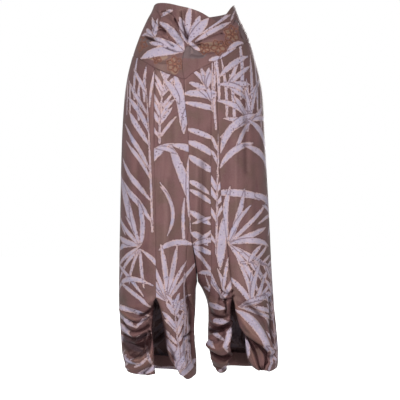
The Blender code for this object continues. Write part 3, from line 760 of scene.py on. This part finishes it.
def hem_turn():
    """The turned cloth that shows behind the left leg's outer slit edge."""
    edge, inner_line = curve(SLITS["outer"][LEFT]), curve(TURN_EDGE)
    across = np.linspace(0, 1, 52)[None, :]

    def x_of(drop):
        hidden = edge(drop) + TURN_HIDDEN
        return hidden + (inner_line(drop) - hidden) * across

    first = 868
    # the columns in its corner don't settle, and these rounds leave it rounded
    last = settled(curve(TURN_HEM), x_of, 970 + 0 * across, rounds=14)
    drop = first + (last - first) * np.linspace(0, 1, 64)[:, None]
    x = x_of(drop)
    q = q_at(LEFT, x, drop)
    flat = around(LEFT, q, drop, "front")[1]
    folded = leg_point(LEFT, q, drop, "front")[0][..., 1]
    plain = ramp(edge(drop) - x, 0, 25)
    y = folded * (1 - plain) + flat * plain
    y = y + TURN_DEPTH + 4 * across + 3 * ramp(x, 160, 190) + 3 * ramp(905 - drop, 0, 25)
    pleat = np.sin(across * 16 + drop / 40) + 0.5 * np.sin(across * 33 + drop / 22 + 1)
    pleat = pleat * ramp(across, 0.15, 0.4)
    y = y + TURN_PLEAT * pleat
    y = y + TURN_LIP * ramp(drop, last - 14, last) ** 2 * ramp(across, 0.35, 0.6)
    # painted shade darkens it between the pleats, beside the slit edge and high up inside, and the
    # pleats' ridges get the painted warm light
    painted_pocket_shade = bell(np.hypot(x - 158, drop - 895), 20)
    depth = 7 * pleat + 20 * painted_pocket_shade + 14 * ramp(20 - np.abs(x - edge(drop)), 0, 16)
    return trimmed(np.stack([x, y, -drop], -1)), x, drop, depth


# --- the edges of the leg pieces, as q at a drop ---


def q_line(leg, table):
    """A line on the front."""
    line = curve(table)
    return lambda drop: q_at(leg, line(drop), np.asarray(drop, float))


def joined(leg, upper, lower):
    """A seam line that goes on as a slit edge below the slit's top."""
    above, below = q_line(leg, upper), q_line(leg, lower)
    return lambda drop: np.where(np.asarray(drop) <= SLIT_TOP, above(drop), below(drop))


def inner_edge(drop):
    """The inseam, or the middle above the crotch."""
    return -1.0 + 0 * np.asarray(drop, float)


def side_edge(drop):
    """The side of the leg."""
    return 1.0 + 0 * np.asarray(drop, float)


def beside_gusset(leg, first, last):
    """The edge of a piece that follows a gusset and then the inner edge."""
    line = q_line(leg, GUSSETS[leg])

    def edge(drop):
        drop = np.asarray(drop, float)
        on = ramp(drop, first - 4, first + 4) * ramp(-drop, -last - 4, -last + 4)
        return line(drop) * on - (1 - on)

    return edge


# --- the print ---
#
# Palm leaves, all from one lance shape. Here x is measured round the cloth, and
# angles are in degrees, 0 to the wearer's left and 90 downwards. A row holds
# three points on the middle of a stroke and its full width at each of them.


def leaf(x, drop, angle, length, width, arch=0.0, foot=0.55, tip=0.5):
    """One leaf from its foot. foot and tip are the shares of its full width
    there, and arch is how far its middle is raised, as a share of its length."""
    ux, ud = math.cos(math.radians(angle)), math.sin(math.radians(angle))
    lift = -arch * length * (1 if ux > 0 else -1)
    middle = (x + ux * length / 2 - ud * lift, drop + ud * length / 2 + ux * lift)
    end = (x + ux * length, drop + ud * length)
    return [(x, drop, *middle, *end, foot * width, width, tip * width)]


def uneven(k, seed, low=0.7):
    """A share between low and 1 that differs from leaf to leaf."""
    return low + (1 - low) * (0.5 + 0.5 * math.sin(2.4 * k + 0.37 * seed))


def fan(x, drop, first, last, count, length, width, arch=0.06):
    """Leaves that spread from one point, from the first angle to the last."""
    rows = []
    for k in range(count):
        gap = (last - first) / (count - 1)
        angle = first + gap * (k + 0.5 * uneven(3 * k, drop, 0) - 0.25)
        bend = arch * (2 * uneven(k, x + drop, 0) - 0.4)
        rows += leaf(x, drop, angle, length * uneven(k, x), width * uneven(2 * k, drop), bend)
    return rows


def frond(x, drop, angle, length, pairs, leaflet, width, arch=0.0, sides=(-1, 1), spread=42):
    """A stem with leaflets, which shorten and close up towards its tip."""
    stem = leaf(x, drop, angle, length, 5, arch, 1.2, 0.5)
    px, pd, _ = quadratic(stem[0], 4 * pairs + 5)
    rows = stem
    for side in sides:
        for k in range(pairs):
            at = 4 * k + 2 + round(2 * uneven(k, x + 9 * side, 0))
            along = math.degrees(math.atan2(pd[at + 1] - pd[at], px[at + 1] - px[at]))
            share = k / pairs
            turn = along + side * spread * (1.15 - 0.45 * share) * uneven(3 * k, drop, 0.85)
            reach = leaflet * (1 - 0.45 * share) * uneven(k, x + side, 0.75)
            broad = width * (1 - 0.1 * share) * uneven(2 * k, drop + side, 0.7)
            rows += leaf(px[at], pd[at], turn, reach, broad, 0.08 * uneven(k, drop, 0))
    return rows


def reeds(x, drop, count, gap, length, width, lean=0.0, way=-90):
    """Leaves side by side that point one way, upright if nothing else is said."""
    ux, ud = math.cos(math.radians(way)), math.sin(math.radians(way))
    rows = []
    for k in range(count):
        back = 0.5 * length * (uneven(k, x, 0) - 0.5)
        foot = (x - ud * gap * k - ux * back, drop + ux * gap * k - ud * back)
        angle = way + lean * (k - count / 2 + uneven(k, drop, -1))
        broad = width * uneven(3 * k, x, 0.6)
        rows += leaf(*foot, angle, length * uneven(k, drop), broad, 0.03, 0.7)
    return rows


def patch(x, drop, angle, length, width):
    """A blunt area of another ground colour."""
    return leaf(x, drop, angle, length, width, 0.05, 0.8, 0.6)


def blossom(x, drop, size, petals=5):
    """The drawn outline of a flower, two arcs to a petal."""

    def at(turn, share):
        off = share * size
        return x + off * math.cos(turn), drop + off * math.sin(turn)

    rows = []
    for k in range(petals):
        turn = 2 * math.pi * k / petals + 0.4
        for side in (-0.5, 0.5):
            rows.append((x, drop, *at(turn + side, 0.65), *at(turn, 1), 1.8, 2.2, 1.8))
    return rows


def drawn(motifs):
    """The strokes of several motifs, in the order of the rows."""
    rows = []
    for motif, *sizes in motifs:
        rows += motif(*sizes)
    return rows


# one repeat of the cloth, from which the backs are cut, and how wide it is
REPEAT = 245
PALMS = drawn([
    (fan, 20, 62, 186, 354, 9, 116, 18), (reeds, -96, 140, 6, 18, 130, 15, 3),
    (fan, -72, 176, 24, 150, 6, 124, 18), (frond, -62, 440, -82, 250, 8, 110, 16, 0.04),
    (fan, 88, 366, 172, 358, 11, 150, 19), (leaf, -10, 330, 44, 180, 20, 0.1),
    (frond, 70, 644, -78, 240, 8, 108, 16, 0.04), (fan, -60, 584, 142, 326, 10, 150, 20),
    (fan, -56, 592, 40, 118, 4, 130, 17), (leaf, -124, 696, 8, 200, 22, 0.12),
    (leaf, 34, 500, 30, 130, 18, 0.1), (fan, 20, 776, -160, -14, 10, 150, 19),
    (frond, -90, 966, -80, 236, 8, 104, 16, 0.03), (fan, 90, 934, 166, 362, 10, 142, 19),
    (reeds, 36, 262, 6, 17, 130, 14, 2), (leaf, 90, 806, 96, 120, 18),
    (fan, -12, 1012, 196, 334, 8, 112, 18),
])


def all_over(shift):
    """The repeat, side by side over a whole back piece, and lower in turns."""
    rows = []
    for k in (-2, -1, 0, 1, 2):
        move = np.array((shift + REPEAT * k, 60 * (k % 2)) * 3 + (0, 0, 0))
        rows += [tuple(move + row) for row in PALMS]
    return rows


# What is printed on each piece in one colour, as motifs with their sizes
PRINTS = {
    ("yoke_front_right", "leaf"): [
        (fan, -20, 102, -108, -54, 4, 106, 25, 0.03), (fan, -30, 122, -194, -132, 3, 128, 28),
        (fan, -112, 82, 196, 268, 4, 66, 14), (leaf, -88, 104, 192, 44, 12),
        (leaf, -62, 10, 160, 40, 11, 0.1),
    ],
    ("yoke_front_right", "grey"): [(patch, -168, 84, 14, 66, 24), (patch, -30, 158, -70, 36, 22)],
    ("yoke_front_right", "tan"): [(patch, -122, 136, 4, 46, 20), (patch, -62, 150, 80, 32, 24)],
    ("yoke_front_right", "flower"): [
        (blossom, -56, 158, 22, 6), (blossom, -164, 94, 24), (blossom, -104, 142, 13, 4),
    ],
    ("yoke_front_left", "leaf"): [
        (leaf, -2, 97, -30, 118, 13, 0.02), (leaf, 10, 78, -34, 110, 12, 0.03),
        (leaf, -20, 97, 38, 38, 12), (leaf, 84, 122, -28, 62, 13, 0.1),
        (leaf, 104, 142, -52, 58, 12), (leaf, 34, 148, -4, 46, 13, 0.1),
        (leaf, 60, 146, -26, 76, 14, 0.06), (leaf, 70, 160, -12, 66, 12, 0.06),
        (leaf, 100, 34, -52, 40, 8),
    ],
    ("yoke_front_left", "grey"): [(patch, -32, 127, 3, 58, 34), (patch, 124, 34, 62, 60, 15)],
    ("yoke_front_left", "tan"): [(patch, 90, 70, 30, 30, 26), (patch, 12, 114, 0, 64, 26)],
    ("yoke_front_left", "flower"): [
        (blossom, 102, 74, 26, 6), (blossom, 22, 115, 16, 5), (blossom, 60, 111, 21, 5),
        (blossom, 84, 104, 10, 3),
    ],
    ("front_outer_right", "leaf"): [
        (reeds, -226, 272, 7, 17, 124, 11, 3),
        (frond, -116, 600, -93, 410, 8, 200, 17, 0.01, (-1,), 42),
        (leaf, -266, 440, 60, 184, 29, 0.08, 0.4, 0.5), (leaf, -276, 556, 38, 90, 15, 0.1),
        (fan, -150, 640, 156, 268, 7, 136, 16), (fan, -150, 648, 44, 140, 4, 132, 13),
        (leaf, -264, 690, 34, 150, 12, 0.1), (leaf, -262, 776, -12, 152, 14, 0.2),
        (leaf, -228, 742, 30, 128, 12, 0.06), (reeds, -276, 796, 4, 30, 156, 23, 2, 15),
        (reeds, -172, 862, 2, 28, 62, 14, 6, -28), (leaf, -150, 900, 62, 70, 9, 0.1),
        (leaf, -172, 966, -38, 66, 8, -0.1), (fan, -262, 990, -60, -8, 4, 104, 13),
        (leaf, -168, 990, -24, 84, 15), (leaf, -206, 938, 14, 60, 8, -0.1),
    ],
    ("front_inner_right", "leaf"): [
        (frond, -96, 366, -84, 216, 8, 78, 11, 0.03, (-1, 1), 36),
        (leaf, -32, 340, -99, 160, 25, 0.04), (leaf, -36, 330, -62, 160, 28, 0.04),
        (leaf, -44, 262, -122, 76, 17, 0.06), (fan, -70, 368, 28, 134, 3, 196, 27),
        (leaf, -108, 380, 14, 60, 12, 0.1), (reeds, -30, 590, 2, 13, 176, 9),
        (leaf, -96, 470, 76, 130, 9, 0.12), (leaf, -76, 612, -98, 132, 10, 0.18),
        (leaf, -98, 650, -8, 96, 16, 0.14), (fan, -76, 786, -150, -52, 8, 168, 15, 0.02),
        (fan, -64, 804, -30, 50, 4, 80, 12),
        (frond, -44, 996, -94, 220, 8, 86, 14, 0.02, (-1, 1), 40),
        (reeds, -22, 936, 3, 13, 190, 15, 2), (fan, -50, 1000, -84, -30, 4, 110, 20),
    ],
    ("gusset_left", "leaf"): [
        (frond, -36, 190, 87, 460, 9, 120, 20, 0.0, (-1,), 68),
        (fan, 46, 262, -140, -80, 3, 84, 11), (fan, 30, 222, -164, -58, 5, 72, 15),
        (fan, -16, 640, -30, 46, 4, 96, 15), (leaf, 46, 560, 160, 60, 9),
        (leaf, -8, 714, 10, 84, 14, 0.1), (leaf, -6, 752, 28, 60, 11, 0.1),
        (leaf, 38, 796, -105, 80, 9),
    ],
    ("front_inner_left", "leaf"): [
        (reeds, 45, 320, 2, 9, 190, 12), (fan, 60, 236, 150, 250, 3, 90, 15),
        (frond, 54, 660, -89, 330, 6, 84, 14, 0.0, (-1, 1), 34),
        (leaf, 64, 700, -84, 150, 24, 0.02, 0.6), (fan, 70, 786, -136, -58, 5, 118, 13),
        (reeds, 22, 806, 4, 32, 84, 18, 5, 14), (leaf, 96, 842, 100, 84, 15, 0.03),
        (leaf, 94, 956, 154, 66, 10),
    ],
    ("front_outer_left", "leaf"): [
        (reeds, 62, 290, 8, 20, 180, 13, 2), (fan, 84, 216, -60, 20, 4, 96, 15),
        (leaf, 62, 192, -34, 110, 16, 0.08), (leaf, 60, 212, 14, 78, 13, 0.1),
        (leaf, 150, 236, -38, 90, 13), (fan, 154, 306, 118, 352, 9, 112, 15),
        (leaf, 66, 392, -44, 150, 20, 0.18), (leaf, 140, 302, 50, 200, 20, 0.14),
        (leaf, 64, 432, -34, 120, 17, 0.14), (leaf, 130, 372, 36, 190, 20, 0.12),
        (leaf, 62, 498, 6, 120, 20, 0.04, 0.7, 0.7), (leaf, 170, 504, 24, 120, 19, 0.06, 0.7),
        (fan, 86, 634, -92, 58, 9, 170, 16), (fan, 268, 560, 130, 225, 4, 100, 14),
        (frond, 116, 684, 14, 150, 5, 84, 13, 0.08), (fan, 152, 800, -134, 8, 8, 136, 15),
        (leaf, 108, 808, 58, 166, 24, 0.13, 0.6, 0.3), (fan, 114, 800, -22, 16, 3, 156, 16, 0.1),
        (frond, 248, 992, -94, 300, 7, 100, 13, 0.02), (leaf, 198, 990, -64, 84, 14),
    ],
    ("hem_turn_left", "leaf"): [(leaf, 128, 868, 82, 76, 14, 0.05)],
    ("yoke_back", "leaf"): [(all_over, -60)],
    ("back_right", "leaf"): [(all_over, 40 * RIGHT)],
    ("back_left", "leaf"): [(all_over, 40 * LEFT)],
}
# the print runs on over the gusset's seam
PRINTS["gusset_right", "leaf"] = PRINTS["front_inner_right", "leaf"]


def strokes(rows, x, drop):
    """The distance to the nearest stroke's edge, negative inside it, and the
    distance to the nearest outline that later strokes don't cover."""
    inside = np.full(x.shape, BARE)
    outline = np.full(x.shape, BARE)
    for row in rows:
        px, pd, t = quadratic(row, 15)
        w1, w2, w3 = row[6:]
        radius = ((1 - t) * (1 - 2 * t) * w1 + 4 * t * (1 - t) * w2 - t * (1 - 2 * t) * w3) / 2
        for width, way in ((w1, t), (w3, 1 - t)):
            if width < BLUNT * max(w1, w2, w3):
                radius = radius * (0.3 + 0.7 * np.minimum(1, way / TIP) ** 0.7)
        radius = np.maximum(radius, 0)
        near = around_line(x, drop, px, pd, INK_REACH + radius.max())
        if near.any():
            off = off_curve(x[near], drop[near], px, pd, radius)
            inside[near] = np.minimum(inside[near], off)
            outline[near] = np.where(off < 0, -off, np.minimum(outline[near], off))
    return inside, outline


# --- materials ---


def srgb(code):
    """The linear colour of an sRGB hex value."""
    parts = [int(code[k:k + 2], 16) / 255 for k in (1, 3, 5)]
    return (*(p / 12.92 if p <= 0.04045 else ((p + 0.055) / 1.055) ** 2.4 for p in parts), 1)


def add(tree, kind, values, output=0):
    """Adds a node, or takes the one of that name, gives it its settings and
    links those that are sockets. Gives back one of its outputs."""
    node = tree.nodes.get(kind) or tree.nodes.new(kind)
    for key, value in values.items():
        if isinstance(value, bpy.types.NodeSocket):
            tree.links.new(value, node.inputs[key])
        elif isinstance(key, str) and hasattr(node, key):
            setattr(node, key, value)
        else:
            node.inputs[key].default_value = value
    return node.outputs[output]


# How cloth and ink are uneven: name, size in millimetres, detail, direction.
# The satin's floats are drawn at 1.2 mm, as the real 0.2 mm would not show.
UNEVEN = [
    ("edge", 8.3, 2, "plain"),
    ("tooth", 2.6, 1, "plain"),
    ("shade", 62, 3, "plain"),
    ("warm", 110, 2, "plain"),
    ("wine", 24, 3, "warp"),
    ("lilac", 33, 2, "plain"),
    ("rose", 18, 2, "plain"),
    ("blue", 42, 2, "plain"),
    ("grain", 3.8, 2, "plain"),
    ("group", 22, 1, "plain"),
    ("float", 1.2, 1, "twill"),
    ("crease", 17, 4, "plain"),
]
SPECKS = 6.7  # how far apart the specks of ink lie, in millimetres
# What is worked out from these, in millimetres beside the edge of the ink
WORKED_OUT = [
    ("wander", "MULTIPLY_ADD", "edge", 4.2, -2.1),
    ("fine", "MULTIPLY_ADD", "tooth", 3.2, -1.6),
    ("ragged", "ADD", "wander", "fine"),
    ("leaf ink", "ADD", "leaf", "ragged"),
    ("grey ink", "ADD", "grey", "ragged"),
    ("tan ink", "ADD", "tan", "ragged"),
    ("flower ink", "MULTIPLY_ADD", "ragged", 0.4, "flower"),
    ("flower line", "ABSOLUTE", "flower ink"),
    ("outline ink", "MULTIPLY_ADD", "fine", 0.7, "outline"),
    ("speck", "MULTIPLY_ADD", "fine", 0.06, "specks"),
]
# Each colour lies on the one before: the heap, the colour or another heap, how
# strong it is, and where it lies, as a value and the range over which it sets in
INKS = [
    ("ground", "#67494a", 1),
    ("ground", "#5d4641", 1, ("shade", 0.38, 0.62)),
    ("ground", "#6e4e4e", 1, ("warm", 0.45, 0.7)),
    # faint wine-red shades run along the warp
    ("ground", "#58383c", 0.55, ("wine", 0.5, 0.68)),
    ("ground", "#5f5052", 1, ("grey ink", 1.0, -1.0)),
    ("ground", "#7d6455", 1, ("tan ink", 1.5, -1.5)),
    ("ground", "#96604a", 1, ("flower ink", 2.2, 0.6)),
    ("ground", "#53352f", 1, ("flower line", 1.2, 0.3)),
    # a darker hair line of ground colour follows each leaf
    ("ground", "#422d33", 0.6, ("leaf ink", 3.0, 0.4)),
    ("rim", "#b49fa8", 1),
    ("rim", "#bfa29f", 1, ("rose", 0.42, 0.6)),
    ("leaves", "#a99db0", 1),
    ("leaves", "#a096a8", 1, ("lilac", 0.4, 0.65)),
    ("leaves", "rim", 1, ("leaf ink", -4.0, -1.0)),
    # the ink lies unevenly: bluish patches, and cream grains
    ("leaves", "#9c97b0", 1, ("blue", 0.56, 0.74)),
    ("leaves", "#c6b5ac", 0.55, ("grain", 0.54, 0.66)),
    # specks of ink lie in loose groups, and fine outlines inside the leaves
    ("leaves", "#54414c", 0.9, ("speck", 0.36, 0.16), ("group", 0.4, 0.62)),
    ("leaves", "#604b55", 0.7, ("outline ink", 2.3, 0.9), ("leaf ink", -0.5, -2.0)),
    ("ground", "leaves", 1, ("leaf ink", 0.5, -0.5)),
]
PALER = ("ground", "#806a6e", 0.45)  # the wrong side, where the ink comes through
LIGHT = [
    # light that goes from fold to fold warms the ground on the high ridges,
    # and hardly reaches the bottom of the deep folds
    ("ground", "#7c5850", 0.5, ("depth", *PAINTED_BOUNCE_HEIGHTS), ("leaf ink", -0.5, 0.5)),
    ("ground", "#2a0d10", 0.94, ("depth", *PAINTED_SHADE_DEPTHS)),
    # a faint painted sheen lies on the satin's floats
    ("ground", "#d8c9cd", 0.04, ("float", 0.35, 0.7)),
]


def printed_satin(name, wrong_side):
    """Polyester satin, woven and then printed. It gives the eye a soft, low
    gloss over cocoa brown with flat lilac-grey leaves that have thin pinkish
    rims, small dark specks and slightly ragged edges. The wrong side shows the
    same print paler and duller, as the ink comes through."""
    made = bpy.data.materials.new(name)
    made.use_nodes = True
    tree = made.node_tree
    flat = add(tree, "ShaderNodeUVMap", {"uv_map": "cloth"})
    across = {"plain": flat}
    for key, stretch, turn in (("warp", 0.22, 0), ("twill", 0.3, 0.35)):
        values = {0: flat, 2: (0, 0, turn), 3: (1, stretch, 1)}
        across[key] = add(tree, "ShaderNodeMapping", values)
    at = {}
    for key in ("leaf", "flower", "grey", "tan", "outline", "depth"):
        at[key] = add(tree, "ShaderNodeAttribute", {"attribute_name": key}, "Fac")
    for key, size, detail, way in UNEVEN:
        values = {"Vector": across[way], "Scale": 1 / (size * MM), "Detail": detail}
        at[key] = add(tree, "ShaderNodeTexNoise", {**values, "Roughness": 0.55}, "Fac")
    values = {"Vector": flat, "Scale": 1 / (SPECKS * MM), "Randomness": 1.0}
    at["specks"] = add(tree, "ShaderNodeTexVoronoi", values, "Distance")
    for key, operation, *terms in WORKED_OUT:
        values = {k: at.get(term, term) for k, term in enumerate(terms)}
        at[key] = add(tree, "ShaderNodeMath", {"operation": operation, **values})

    heaps = {}
    for heap, over, strength, *places in INKS + [PALER] * wrong_side + LIGHT:
        over = heaps[over] if over in heaps else srgb(over)
        if heap not in heaps:
            heaps[heap] = over
            continue
        share = strength
        for source, low, high in places:
            values = {"interpolation_type": "SMOOTHSTEP", 0: at[source], 1: low, 2: high}
            set_in = add(tree, "ShaderNodeMapRange", values)
            values = {"operation": "MULTIPLY", 0: set_in, 1: share}
            share = add(tree, "ShaderNodeMath", values)
        values = {"data_type": "RGBA", 0: share, 6: heaps[heap], 7: over}
        heaps[heap] = add(tree, "ShaderNodeMix", values, 2)
    values = {"Strength": 0.25, "Distance": 0.6 * MM, "Height": at["crease"]}
    crease = add(tree, "ShaderNodeBump", values)
    values = {"Strength": 0.12, "Distance": 0.2 * MM, "Height": at["float"], "Normal": crease}
    values = {"Base Color": heaps["ground"], "Normal": add(tree, "ShaderNodeBump", values)}
    values |= {"Roughness": 0.6 if wrong_side else 0.43, "IOR": 1.5}
    add(tree, "Principled BSDF", {**values, "Specular Tint": srgb("#d8b4ac")})
    return made


# --- the pieces ---

# Name, leg, the edges where its columns start and end, width, fixed ends, flat
# width and length in metres, flat area. The edges are an outer or an inner slit
# with the seam above it, a gusset's line or the edge beside it, the inseam with
# the middle above it, and the side of the leg.
LEG_PIECES = [
    ("front_outer_right", RIGHT, "outer", "side", 160, {}, (0.2, 0.95), 0.15),
    ("front_inner_right", RIGHT, "inner", "beside", 130, {}, (0.16, 0.9), 0.088),
    ("gusset_right", RIGHT, "gusset", "inseam", 30, {"start": 590, "end": 822}, (0.05, 0.24), 0.009),
    ("front_outer_left", LEFT, "outer", "side", 190, {}, (0.22, 1.0), 0.163),
    ("front_inner_left", LEFT, "beside", "inner", 80, {}, (0.1, 0.9), 0.056),
    ("gusset_left", LEFT, "inseam", "gusset", 70, {"end": 790}, (0.08, 0.65), 0.04),
    ("back_right", RIGHT, "inseam", "side", 290, {}, (0.34, 0.95), 0.27),
    ("back_left", LEFT, "inseam", "side", 290, {}, (0.34, 0.95), 0.27),
]
BESIDE_GUSSET = {RIGHT: (589, 830), LEFT: (0, 795)}  # from drop to drop
# The columns of these run the other way round, so their faces are turned
INSIDE_OUT = ("yoke_back", "front_outer_right", "back_left", "hem_turn_left")


def cloth(name, sheet, finish):
    """One cut piece as a sheet of cloth on its solid's form. A piece's cut, its flat width and
    length in metres, and its area, its flat area, are not used."""
    grid, places, drops, depths = sheet
    rows, columns = grid.shape[:2]
    corner = (np.arange(rows - 1)[:, None] * columns + np.arange(columns - 1)).ravel()
    faces = np.stack([corner, corner + columns, corner + columns + 1, corner + 1], -1)
    if name in INSIDE_OUT:
        faces = faces[:, ::-1]
    mesh = bpy.data.meshes.new(name + "_cloth")
    mesh.from_pydata((grid.reshape(-1, 3) * MM).tolist(), [], faces.tolist())
    places, drops = places.ravel(), drops.ravel()
    # depth sets the painted shade in folds and seams and the painted warm light on ridges
    fields = {"depth": np.broadcast_to(depths, grid.shape[:2]).ravel()}
    for kind in ("leaf", "flower", "grey", "tan"):
        motifs = PRINTS.get((name, kind), ())
        fields[kind], outline = strokes(drawn(motifs), places, drops)
        fields.setdefault("outline", outline)
    for kind, values in fields.items():
        mesh.attributes.new(kind, "FLOAT", "POINT").data.foreach_set("value", values)
    flat = mesh.uv_layers.new(name="cloth")
    corners = faces.ravel()
    flat_places = np.stack([places[corners], drops[corners]], -1) * MM
    flat.uv.foreach_set("vector", flat_places.ravel())
    piece = bpy.data.objects.new(name + "_cloth", mesh)
    bpy.context.scene.collection.objects.link(piece)
    for made in finish:
        mesh.materials.append(made)
    shell = piece.modifiers.new("thickness", "SOLIDIFY")
    shell.thickness = SHEET * MM
    shell.offset = 0
    shell.material_offset = 1
    shell.material_offset_rim = 0
    bpy.ops.object.select_all(action="DESELECT")
    piece.select_set(True)
    bpy.context.view_layer.objects.active = piece
    bpy.ops.object.modifier_apply(modifier="thickness")
    bpy.ops.object.shade_smooth_by_angle(angle=math.radians(50))
    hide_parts(name)
    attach(piece, "root")


def leg_sheet(name, leg, start_edge, end_edge, width, ends):
    """The sheet of one row of the table of leg pieces."""
    face = "back" if "back" in name else "front"
    top = YOKE_BACK if face == "back" else YOKE_FRONT
    slit = None
    edges = []
    for kind in (start_edge, end_edge):
        if kind in SLITS:
            slit = q_line(leg, SLITS[kind][leg])
            edges.append(joined(leg, SEAMS[leg], SLITS[kind][leg]))
        elif kind == "beside":
            edges.append(beside_gusset(leg, *BESIDE_GUSSET[leg]))
        elif kind == "gusset":
            edges.append(q_line(leg, GUSSETS[leg]))
        else:
            edges.append(side_edge if kind == "side" else inner_edge)
    lines = curve(top), curve(HEMS[face][leg])
    return leg_piece(leg, face, edges, lines, width, slit, **ends)


def build():
    """All the cut pieces, right side and wrong side finished."""
    finish = (
        printed_satin("printed polyester satin", False),
        printed_satin("polyester satin wrong side", True),
    )
    cloth("yoke_front_right", yoke_right(), finish)
    cloth("yoke_front_left", yoke_left(), finish)
    cloth("yoke_back", yoke_back(), finish)
    for name, *shape, cut, area in LEG_PIECES:
        cloth(name, leg_sheet(name, *shape), finish)
    cloth("hem_turn_left", hem_turn(), finish)


# --- the studio ---

SKY = 0.42  # strength of the sky as the cloth sees it
FLOOR_DROP = 1.1  # metres from the waist to the studio's floor
FLOOR_GLOW = 0.7  # the floor's own light, which keeps it as white as the sky
# name, place, aim, size in metres, power in watts
LIGHTS = [
    ("key", (-1.2, -2.5, 0.45), (0, 0, -0.6), (1.1, 1.1), 52),
    ("fill", (1.3, -2.5, -0.95), (0, 0, -0.85), (1.2, 0.9), 46),
    ("back", (0.6, 2.8, 0.5), (0, 0, -0.5), (1.6, 1.6), 55),
]
FAR = 3.0  # metres from the camera to the waist's axis
SEEN = 1.1  # metres that the view spans there
FILM = 36  # width of the camera's film in millimetres
CAMERA = (0.011, -FAR, -0.517)


def area_light(name, place, aim, size, watts):
    """A soft box that points at its aim."""
    data = bpy.data.lights.new(name, "AREA")
    data.shape = "RECTANGLE"
    data.size, data.size_y = size
    data.energy = watts
    light = bpy.data.objects.new(name, data)
    light.location = place
    way = mathutils.Vector(aim) - mathutils.Vector(place)
    light.rotation_euler = way.to_track_quat("-Z", "Y").to_euler()
    bpy.context.scene.collection.objects.link(light)


def studio():
    """A white studio: the camera sees plain white, and the cloth is lit by a
    dim sky and by three soft boxes, high and low in front and one behind."""
    bpy.ops.object.select_all(action="DESELECT")
    bpy.ops.mesh.primitive_plane_add(size=16, location=(0, 0, -FLOOR_DROP))
    floor = bpy.context.object
    floor.name = "floor"
    white = bpy.data.materials.new("white studio paper")
    white.use_nodes = True
    values = {"Base Color": srgb("#f4f4f4"), "Roughness": 0.9}
    values |= {"Emission Color": srgb("#ffffff"), "Emission Strength": FLOOR_GLOW}
    add(white.node_tree, "Principled BSDF", values)
    floor.data.materials.append(white)
    floor.visible_diffuse = False  # its glow is for the eye alone and doesn't
    floor.visible_glossy = False  # fill the undersides of the folds

    world = bpy.data.worlds.new("pale studio")
    world.use_nodes = True
    tree = world.node_tree
    seen = add(tree, "Background", {"Color": srgb("#ffffff"), "Strength": 1.0})
    dim = add(tree, "ShaderNodeBackground", {"Color": srgb("#ffffff"), "Strength": SKY})
    eye = add(tree, "ShaderNodeLightPath", {}, "Is Camera Ray")
    both = add(tree, "ShaderNodeMixShader", {0: eye, 1: dim, 2: seen})
    tree.links.new(both, tree.nodes["World Output"].inputs["Surface"])
    bpy.context.scene.world = world
    for row in LIGHTS:
        area_light(*row)

    bpy.context.scene.view_settings.view_transform = "Standard"
    camera_data = bpy.data.cameras.new("camera")
    camera_data.sensor_width = FILM
    camera_data.lens = FILM * FAR / SEEN
    camera = bpy.data.objects.new("camera", camera_data)
    camera.location = CAMERA
    camera.rotation_euler = (math.pi / 2, 0, 0)
    bpy.context.scene.collection.objects.link(camera)
    bpy.context.scene.camera = camera


for name in ("Cube", "Light", "Camera"):  # those of a new file
    if name in bpy.data.objects:
        bpy.data.objects.remove(bpy.data.objects[name])
build()
studio()
